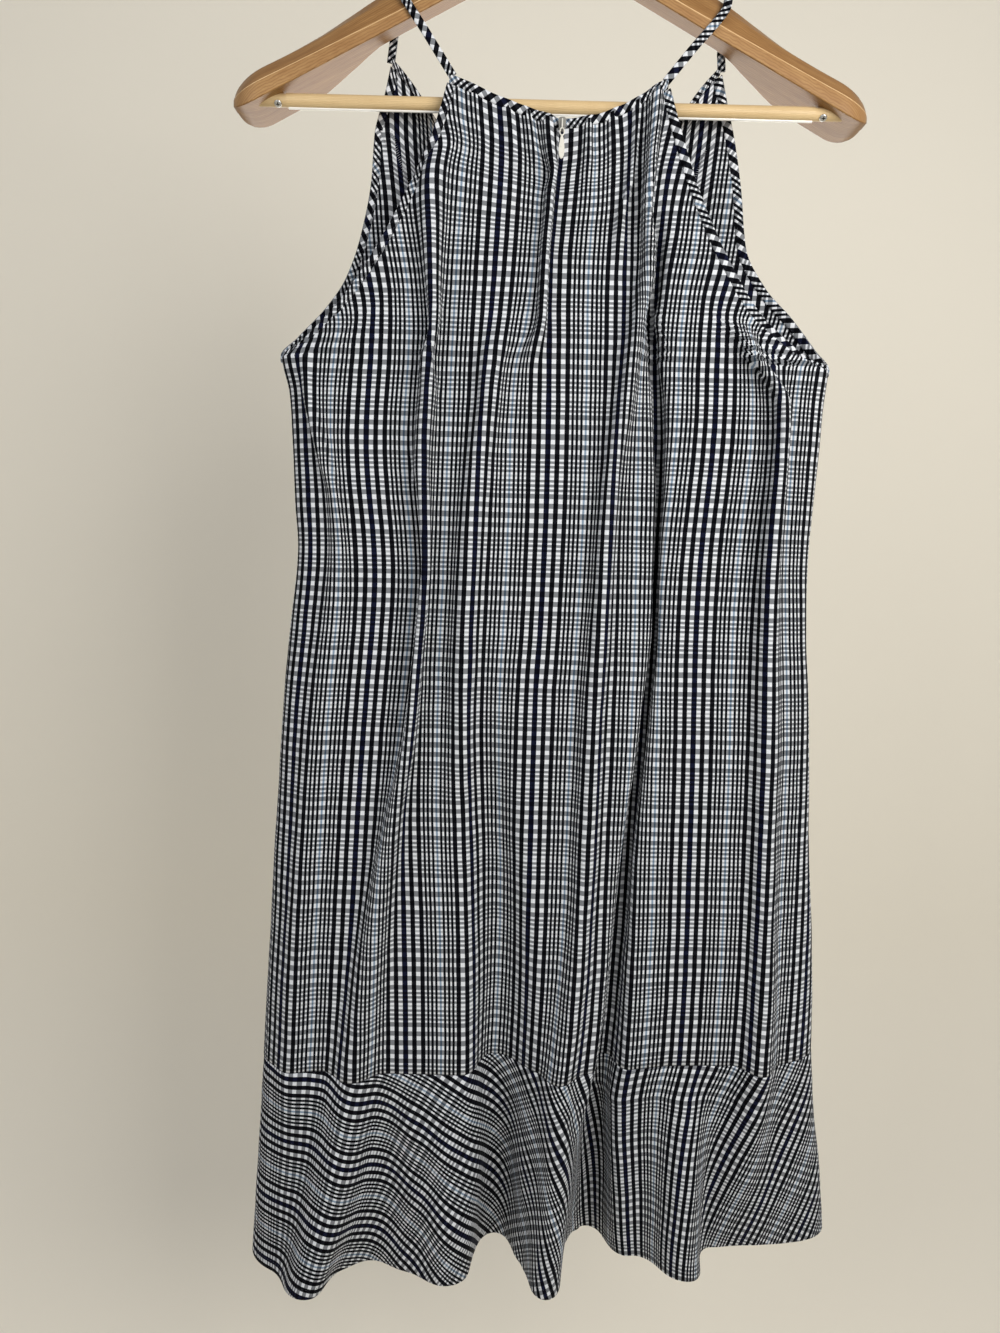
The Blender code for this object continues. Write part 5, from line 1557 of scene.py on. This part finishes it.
def rounded_end(count, wire, over=3):
    """The wire's radius along the hook, drawn in over its last few places."""
    radii = np.full(count, wire)
    for i in range(over):
        radii[-1 - i] = wire * math.sin(math.pi / 2 * (i + 0.6) / over)
    return radii


bright_steel = make_metal("bright_steel", (0.78, 0.78, 0.79), 0.16, 160.0, 0.05)
line = hook_line()
hook = add_tube("steel_hook", line, rounded_end(len(line), HOOK_WIRE), bright_steel)
print("hook wire, mm: %.0f long" % run_along(line)[-1])

# %% [markdown]
# ## The trouser bar
# A pale dowel crosses between the arms. Its ends run into the wood's sloping undersides, which cut
# them to a long curve, so the bar simply goes on into the wood. A thin sleeve grips hung trousers,
# and its lower edge shows as a pale line: a pale strip whose colour is a painted highlight.
# On each side a crosshead screw is driven up through the bar from below and in front. Its cross is
# painted dark by the shader, as painted shade in its recess, as it is half a millimetre deep.

# %% Turn the bar and its screws
BAR_Z = -190.5
BAR_END = 208.0
BAR_SHOULDER = 184.0
DOWEL = 4.3
SLEEVED = 4.7
SLEEVE_STRIP = 1.1
SCREW_X = 189.0
SCREW_TIPPED = math.radians(48)
SCREW_SIDES = 32
SCREW_PROFILE = ((0.0, 2.6), (0.35, 2.6), (0.7, 2.3), (0.95, 1.7), (1.05, 0.9), (1.08, 0.05))
CROSS_HALF_WIDTH = 0.34
CROSS_REACH = 1.35


def bar_line():
    """Places along the bar and its radius: ends, shoulders and the sleeved middle."""
    ends = [(BAR_END, DOWEL - 0.6), (BAR_END - 1.0, DOWEL), (BAR_SHOULDER, DOWEL),
            (BAR_SHOULDER - 0.6, SLEEVED - 0.1), (BAR_SHOULDER - 1.4, SLEEVED)]
    stations = [(-x, r) for x, r in ends] + [(x, SLEEVED) for x in range(-160, 161, 40)] + ends[::-1]
    return [(x, 0.0, BAR_Z) for x, _ in stations], [r for _, r in stations]


def make_strip():
    """The sleeve's edge, which is real; its pale colour is a painted highlight, the light that the edge
    catches.
    """
    material, tree, shader = new_material("sleeve_edge", 0.35, 0.0, (0.80, 0.78, 0.72), Coat_Weight=0.5)
    place = solid_place(tree)
    cloudy = add_node(tree, "ShaderNodeTexNoise", Vector=place, Scale=60.0, Detail=3.0)
    # The pale colour, with cloudy noise, is a painted highlight along the sleeve's edge
    paint(tree, shader, mix_colours(tree, cloudy.outputs["Fac"], (0.70, 0.67, 0.60), (0.88, 0.87, 0.82)))
    return material


def make_screw_steel():
    """Bright zinc; the cross cut into the head is painted dark, as painted shade in its recess, in the head's
    own coordinates.
    """
    material = make_metal("zinc_screw", (0.62, 0.62, 0.60), 0.3, 900.0, 0.1)
    tree = material.node_tree
    shader = tree.nodes["Principled BSDF"]
    split = add_node(tree, "ShaderNodeSeparateXYZ", i0=solid_place(tree))
    across = math_node(tree, "ABSOLUTE", split.outputs["X"])
    along = math_node(tree, "ABSOLUTE", split.outputs["Z"])
    # The cross is painted near black: painted shade in the recess of the slot
    slot = math_node(tree, "LESS_THAN", math_node(tree, "MINIMUM", across, along), CROSS_HALF_WIDTH * MM)
    near = math_node(tree, "LESS_THAN", math_node(tree, "MAXIMUM", across, along), CROSS_REACH * MM)
    cross = math_node(tree, "MULTIPLY", slot, near)
    plain = shader.inputs["Base Color"].links[0].from_socket
    paint(tree, shader, mix_colours(tree, cross, plain, (0.012, 0.012, 0.012)))
    return material


def add_screw(name, x, material):
    """A domed head whose own origin is its middle."""
    turns = [-2 * math.pi * i / SCREW_SIDES for i in range(SCREW_SIDES)]
    rings = [(radius * math.cos(turn), -depth, radius * math.sin(turn))
             for depth, radius in SCREW_PROFILE for turn in turns]
    screw = add_mesh(name, rings, tube_faces(len(SCREW_PROFILE), SCREW_SIDES), material)
    screw.location = Vector((x, -DOWEL * math.cos(SCREW_TIPPED), BAR_Z - DOWEL * math.sin(SCREW_TIPPED))) * MM
    screw.rotation_euler.x = SCREW_TIPPED
    return screw


bar = add_tube("dowel_bar", *bar_line(), dowel_wood, sides=40, sharp=40)
strip_line = [(x, 0.0, BAR_Z - SLEEVED + 0.1) for x in np.linspace(-BAR_SHOULDER + 2, BAR_SHOULDER - 2, 9)]
strip = add_tube("sleeve_edge_strip", strip_line, SLEEVE_STRIP, make_strip())
screw_steel = make_screw_steel()
screws = {name: add_screw("steel_" + name, hand * SCREW_X, screw_steel)
          for name, hand in (("bar_screw_left", -1), ("bar_screw_right", 1))}
print("bar, mm:", 2 * BAR_END, "screws:", len(screws))

# %% [markdown]
# ## The zip's slider and pull
# The centre back opens with a zip set behind the seam, so that only its slider shows at the neck,
# with a slim ivory pull. Both are flat shapes with rounded edges, so an outline with a thickness and
# a bevel makes them. The pull's drop and its wire loop turn on the slider's bridge, so they are
# placed from the hinge's own point.

# %% Make the slider and the pull
SLIDER_TOP = -204.5
SLIDER_HEIGHT = 9.5
PULL_PIN = (7.5, -22.647, -212.7)
SLIDER_BACK = -19.1
SLIDER_THICK = 1.9
BRIDGE = ((0.0, -19.8, -1.2), (0.0, -21.2, -1.8), (0.0, -22.1, -4.2), (0.0, -22.0, -6.6), (0.0, -19.8, -8.3))
BRIDGE_WIRE = 0.55
LOOP_WIRE = 0.42
SLIDER_OUTLINE = ((-1.3, 0.0), (1.3, 0.0), (2.5, -0.9), (2.7, -2.6), (2.1, -6.4), (1.5, -9.2),
                  (0.8, -9.5), (-0.8, -9.5), (-1.5, -9.2), (-2.1, -6.4), (-2.7, -2.6), (-2.5, -0.9))
DROP_TOP = -3.6
DROP_END = -19.5
PULL_WIDTH = 4.5
PULL_WALL = 1.2
DROP_POINTS = 36
LOOP_HALF = 1.5
LOOP_REACH = 2.5
LOOP_MIDDLE = -2.1


def add_prism(name, outline, rear, front, material, edge, at=(0.0, 0.0, 0.0)):
    """A flat shape (x, z) with thickness from rear to front (y) and rounded edges."""
    count = len(outline)
    verts = [(x, rear, z) for x, z in outline] + [(x, front, z) for x, z in outline]
    faces = [tuple(range(count)), tuple(reversed(range(count, 2 * count)))]
    faces += [(i, count + i, count + (i + 1) % count, (i + 1) % count) for i in range(count)]
    prism = add_mesh(name, verts, faces, material)
    prism.location = Vector(at) * MM
    prism.data.set_sharp_from_angle(angle=math.radians(40))
    soften_edges(prism, edge, math.radians(50))
    return prism


def pull_outline():
    """A slim drop: narrow where it hangs, widest at two thirds of its length, round below."""
    outline = []
    for i in range(DROP_POINTS):
        turn = 2 * math.pi * i / DROP_POINTS
        down = (1 - math.cos(turn)) / 2
        wide = math.sin(turn) * PULL_WIDTH / 2 * (0.5 + 0.6 * down ** 0.8)
        outline.append((wide, DROP_TOP + down * (DROP_END - DROP_TOP)))
    return outline


def loop_line():
    """The wire loop that joins the drop to the slider's bridge."""
    return [(LOOP_HALF * math.sin(t), 0.15 * math.cos(t), LOOP_MIDDLE + LOOP_REACH * math.cos(t))
            for t in np.linspace(0, 2 * math.pi, 33)]


def make_enamel(name, pale, worn):
    material, tree, shader = new_material(name, 0.3, 0.0, pale, Coat_Weight=0.4)
    place = solid_place(tree)
    wear = add_node(tree, "ShaderNodeTexNoise", Vector=place, Scale=350.0, Detail=3.0)
    spots = map_range(tree, wear.outputs["Fac"], 0.55, 0.75)
    paint(tree, shader, mix_colours(tree, spots, pale, worn))
    add_bump(tree, shader, wear.outputs["Fac"], 0.08, 0.1 * MM)
    return material


ivory = make_enamel("ivory_enamel", (0.60, 0.585, 0.515), (0.46, 0.44, 0.38))
# The slider's body is the same ivory enamel as its pull, painted as a dark grey copy: painted shade, where
# the body lies in shade
ivory_painted_shade = make_enamel("slider_ivory_painted_shade", (0.20, 0.195, 0.17), (0.11, 0.107, 0.095))
slider_at = (PULL_PIN[0], 0.0, SLIDER_TOP)
slider = add_prism("slider_body", SLIDER_OUTLINE, SLIDER_BACK, SLIDER_BACK - SLIDER_THICK, ivory_painted_shade, 0.5,
                   slider_at)
bridge_line = smooth_route(BRIDGE, 24) + np.array(slider_at)
bridge = add_tube("slider_bridge", bridge_line, BRIDGE_WIRE, ivory, sides=12)
pull = add_prism("pull_drop", pull_outline(), PULL_WALL / 2, -PULL_WALL / 2, ivory, 0.4, PULL_PIN)
pull_ring = add_tube("pull_ring", np.array(loop_line()) + np.array(PULL_PIN), LOOP_WIRE, ivory, sides=10)
print("slider, mm: %.1f high" % SLIDER_HEIGHT)

# %% [markdown]
# ## The zip's tapes and coil
# Behind the seam lie two woven tapes and a coil of nylon teeth, which are seen by looking down into
# the dress. They follow the back's own sections, a little way inside, so they bend with its folds.

# %% Lay the tapes and the coil behind the seam
TAPE_HALF = 11.0
TAPE_BELOW = 10.0
ZIP_LENGTH = 350.0
COIL_HALF = 2.2
COIL_PITCH = 1.4
COIL_WIRE = 0.45
BEHIND = 0.9
ZIP_STEP = 5.0


def make_tape():
    """Black woven tape with a fine herringbone."""
    material, tree, shader = new_material("zip_tape", 0.8)
    place = flat_place(tree)
    split = add_node(tree, "ShaderNodeSeparateXYZ", i0=place)
    zigzag = math_node(tree, "PINGPONG", split.outputs["X"], 0.03)
    slanting = math_node(tree, "ADD", split.outputs["Y"], zigzag)
    lines = math_node(tree, "SINE", math_node(tree, "MULTIPLY", slanting, 420.0))
    tone = map_range(tree, lines, -1.0, 1.0)
    paint(tree, shader, mix_colours(tree, tone, (0.010, 0.010, 0.014), (0.026, 0.027, 0.034)))
    add_bump(tree, shader, lines, 0.3, 0.2 * MM)
    return material


def behind_row(layer, flat, z, behind):
    """Points a little behind the cloth of one row, on the inside of the dress."""
    row, out = layer.row(flat, z)
    return row - out * behind


def zip_rows():
    top = BACK_OUTLINE[1][1][0]
    return np.arange(top - TAPE_BELOW, top - ZIP_LENGTH, -ZIP_STEP)


def add_tape(material):
    flat = np.linspace(-TAPE_HALF, TAPE_HALF, 12)
    points = np.array([behind_row(back, flat, z, BEHIND) for z in zip_rows()])
    places = np.array([[(s / REPEAT, z / REPEAT) for s in flat] for z in zip_rows()])
    return add_cloth("zip_tape", points, places, material)


def add_coil(material):
    """Two rows of small teeth that lock in the middle, one tube each way across."""
    verts, faces = [], []
    zs = zip_rows()
    for k in range(int((zs[0] - zs[-1]) / COIL_PITCH)):
        z = zs[0] - k * COIL_PITCH
        hand = 1 if k % 2 else -1
        flat = np.array([-0.5 * hand, COIL_HALF * hand])
        tooth = behind_row(back, flat, z, 2 * BEHIND)
        first = len(verts)
        verts += sweep_rings(tooth, COIL_WIRE, 6)
        faces += tube_faces(2, 6, first)
    return add_mesh("zip_coil", verts, faces, material)


tape = add_tape(make_tape())
coil = add_coil(make_enamel("coil_nylon", (0.030, 0.031, 0.038), (0.060, 0.062, 0.070)))
print("zip, mm: %.0f long" % ZIP_LENGTH)

# %% [markdown]
# ## Sewing
# Stitches hold the bindings and the hem. A bump could paint them, but near the edge of the cloth
# they would look flat. So each one is a small spindle of thread that lies on the cloth, and they
# are placed along a line at the machine's step. The side seams' raw edges are overlocked inside, so
# there a stitch crosses the edge instead of following it.

# %% Set stitches along a line
STITCH_STEP = 2.8
STITCH_LENGTH = 2.1
THREAD = 0.2


def make_thread(name, pale, dark):
    material, tree, shader = new_material(name, 0.6)
    place = solid_place(tree)
    twist = add_node(tree, "ShaderNodeTexWave", [("bands_direction", "DIAGONAL")], Vector=place,
                     Scale=1500.0, Distortion=1.0)
    paint(tree, shader, mix_colours(tree, twist.outputs["Fac"], dark, pale))
    return material


def spindle(centre, along, out, length, radius):
    """Six points of one stitch: two ends, and four round its middle."""
    across = np.cross(out, along)
    across /= max(np.linalg.norm(across), 1e-9)
    ends = [centre - along * length / 2, centre + along * length / 2]
    return ends + [centre + d * radius for d in (out, across, -out, -across)]


SPINDLE_FACES = ((0, 2, 3), (0, 3, 4), (0, 4, 5), (0, 5, 2), (1, 3, 2), (1, 4, 3), (1, 5, 4), (1, 2, 5))


def add_stitches(name, lines, material, across=0.0, step=STITCH_STEP, length=STITCH_LENGTH):
    """Stitches along lines of (points, outward directions). across turns them over an edge."""
    verts, faces = [], []
    for line, outs in lines:
        far = run_along(line)
        wanted = np.arange(step / 2, far[-1], step)
        places = np.stack([np.interp(wanted, far, line[:, k]) for k in range(3)], axis=-1)
        normals = np.stack([np.interp(wanted, far, outs[:, k]) for k in range(3)], axis=-1)
        ways = np.gradient(places, axis=0)
        for place, out, way in zip(places, normals, ways):
            way = way / max(np.linalg.norm(way), 1e-9)
            side = np.cross(way, out)
            way = way * (1 - across) + side * across
            way /= np.linalg.norm(way)
            first = len(verts)
            verts += spindle(place, way, out, length, THREAD)
            faces += [tuple(first + i for i in face) for face in SPINDLE_FACES]
    return add_mesh(name, verts, faces, material)


dark_thread = make_thread("dark_thread", (0.055, 0.057, 0.070), (0.022, 0.023, 0.030))
grey_thread = make_thread("grey_thread", (0.42, 0.43, 0.45), (0.24, 0.25, 0.27))
print("stitches to a centimetre: %.1f" % (10 / STITCH_STEP))

# %% [markdown]
# ## Stitch lines
# A binding is stitched through near its inner edge, so the same line of stitches shows on both of
# its faces. A hem's line shows outside. The lines are taken from the same edges that the bindings
# and the flounces were made from, so they can't drift off them.

# %% Stitch the bindings and the hems
FROM_EDGE = 1.3
BAND_STANDS = BINDING_WALL / 2 + 0.05
HEM_LINE = 6.0


def neck_line(layer, hand):
    """The stitch line near the lower edge of a neck binding, on its outer or inner face."""
    _, row, out = neck_edge(layer, 0)
    return row - np.array([0.0, 0.0, BINDING_WIDTH - FROM_EDGE]) + out * BAND_STANDS * hand, out * hand


def armhole_line(right, hand):
    edge, inner, out = round_armhole(right)
    share = FROM_EDGE / BINDING_WIDTH
    return inner + (edge - inner) * share + out * BAND_STANDS * hand, out * hand


def hem_line(grid, hand):
    """The stitch line that holds the hem's fold, on either face of a flounce."""
    points, normals, flats = grid
    row = int(np.argmin(np.abs(flats[:, 0, 1] + FLOUNCE_DEPTH - HEM_LINE)))
    return points[row] + normals[row] * (CLOTH / 2 + 0.1) * hand, normals[row] * hand


binding_lines = [neck_line(layer, hand) for layer in (back, front) for hand in (1, -1)]
binding_lines += [armhole_line(right, hand) for right in (False, True) for hand in (1, -1)]
hem_lines = [hem_line(flounce_grid(layer, seam, FLOUNCE_STEP), 1)
             for layer, seam in ((back_hem, back), (front_hem, front))]
sewing = {"stitches_binding": add_stitches("stitches_binding", binding_lines, dark_thread),
          "stitches_hem": add_stitches("stitches_hem", hem_lines, dark_thread)}
print({name: len(piece.data.vertices) // 6 for name, piece in sewing.items()})

# %% [markdown]
# ## Seam allowances
# Inside, each side seam leaves a narrow strip of cloth pressed toward the back. Its raw edge is
# overlocked with grey thread. The same strips show inside the front's armholes, where a short
# shaping seam runs down from the binding. Each is a grid laid just inside its layer.

# %% Press the allowances flat inside
ALLOWANCE = 8.0
PRESSED = 0.75
ALLOWANCE_COLUMNS = 5
SIDE_INSET = 0.8
SIDE_STEP = 8.0
BUST_SEAM = ((146, -204), (140, -222), (132, -240), (122, -262))


def allowance_grid(layer, route, hand):
    """A strip on the inside of a layer, from a route of (flat place, z), toward one hand."""
    points, normals, flats = [], [], []
    for place, z in route:
        flat = place + hand * np.linspace(0.0, ALLOWANCE, ALLOWANCE_COLUMNS)
        row, out = layer.row(flat, z)
        points.append(row - out * PRESSED)
        normals.append(-out)
        flats.append(np.stack([flat, np.full_like(flat, z)], axis=-1))
    return np.array(points), np.array(normals), np.array(flats)


def side_route(layer, right):
    inset = -SIDE_INSET if right else SIDE_INSET
    return [(layer.edge(z, right) + inset, z) for z in np.arange(ARMPIT_Z - 10, SEAM_Z + 3, -SIDE_STEP)]


def bust_route(hand):
    dense = smooth_route([(place, 0.0, z) for place, z in BUST_SEAM], 24)
    return [(hand * place, z) for place, _, z in dense]


def add_allowance(name, layer, route, hand):
    points, normals, flats = allowance_grid(layer, route, hand)
    strip = add_cloth(name, points, weave_place(flats[..., 0], flats[..., 1], layer is back), check_cloth)
    return strip, (points[:, -1] + normals[:, -1] * 0.35, normals[:, -1])


allowances, overlocked = {}, []
for name, layer, route, hand in (("allowance_side_left", back, side_route(back, False), 1),
                                 ("allowance_side_right", back, side_route(back, True), -1),
                                 ("allowance_bust_left", front, bust_route(-1), 1),
                                 ("allowance_bust_right", front, bust_route(1), -1)):
    allowances[name], edge_line = add_allowance(name, layer, route, hand)
    overlocked.append(edge_line)
sewing["overlocking"] = add_stitches("overlocking", overlocked, grey_thread, 0.8, 1.5, 3.4)
print("allowances:", sorted(allowances))

# %% [markdown]
# ## What each piece stands for
# Each finished piece rides on the body that it belongs to and replaces the plain solid that gave
# its place. The solid stays in the physics model. Sheets of cloth state the size they were cut to.


def stand_for(piece, node, body=ROOT):
    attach(piece, body)
    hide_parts(node)


for node, piece in {**panels, **flounces}.items():
    stand_for(piece, node)
for node, piece in {**bindings, **straps}.items():
    stand_for(piece, node)
stand_for(arms, "hanger_wood")
stand_for(bar, "trouser_bar")
stand_for(hook, "hanger_hook")
stand_for(slider, "zip_slider")
stand_for(pull, "zip_pull", PULL)
for node, piece in screws.items():
    stand_for(piece, node)
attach(pull_ring, PULL)
for piece in (bridge, strip, tape, coil, *sewing.values(), *allowances.values()):
    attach(piece, ROOT)

# %% [markdown]
# ## The cut of the cloth
# A dressmaker would cut each piece flat. Its widest width and its length are stated in millimetres,
# without the seam allowances that are hidden, with its real area where a curved edge takes cloth
# away. A folded band counts all round. The flounces are parts of a ring, so each one's size is that
# of the rectangle it is cut from.

# %% State the cuts


def flat_area(piece):
    """Area of one side of the cloth in square metres, before it is given its thickness."""
    return sum(face.area for face in piece.data.polygons)


def cut(piece, width, length, area, held, hangs_from, with_pieces=()):
    print("%-26s %4d x %4d mm, %.5f square metres, shown %.2f of it"
          % (piece.name, width, length, area, flat_area(piece) / area))


cut(panels["back_left"], 243, 711, 0.150, "hung", [bindings["neck_binding_back_left"]],
    [tape, coil, allowances["allowance_side_left"], sewing["overlocking"]])
cut(panels["back_right"], 287, 711, 0.168, "hung", [bindings["neck_binding_back_right"]],
    [allowances["allowance_side_right"]])
cut(panels["front"], 540, 732, 0.322, "hung", [bindings["neck_binding_front"]],
    [allowances["allowance_bust_left"], allowances["allowance_bust_right"]])
cut(flounces["back_flounce"], 688, 249, 0.1126, "hung", [panels["back_left"], panels["back_right"]])
cut(flounces["front_flounce"], 700, 250, 0.115, "hung", [panels["front"]], [sewing["stitches_hem"]])

# Bias strips, as they show all round: how wide, how long and the area in square metres
STRIP_CUTS = {"neck_binding_back_left": (14, 85, 0.00112), "neck_binding_back_right": (14, 81, 0.00105),
              "neck_binding_front": (14, 315, 0.00354), "armhole_binding_left": (15, 447, 0.00610),
              "armhole_binding_right": (15, 458, 0.00620)}
for name, binding in bindings.items():
    sewn_with = [sewing["stitches_binding"]] if name == "neck_binding_front" else []
    cut(binding, *STRIP_CUTS[name], "folded", list(straps.values()), sewn_with)
cut(straps["strap_left"], 13, 135, 0.00175, "folded", [arms])
cut(straps["strap_right"], 13, 125, 0.00162, "folded", [arms])
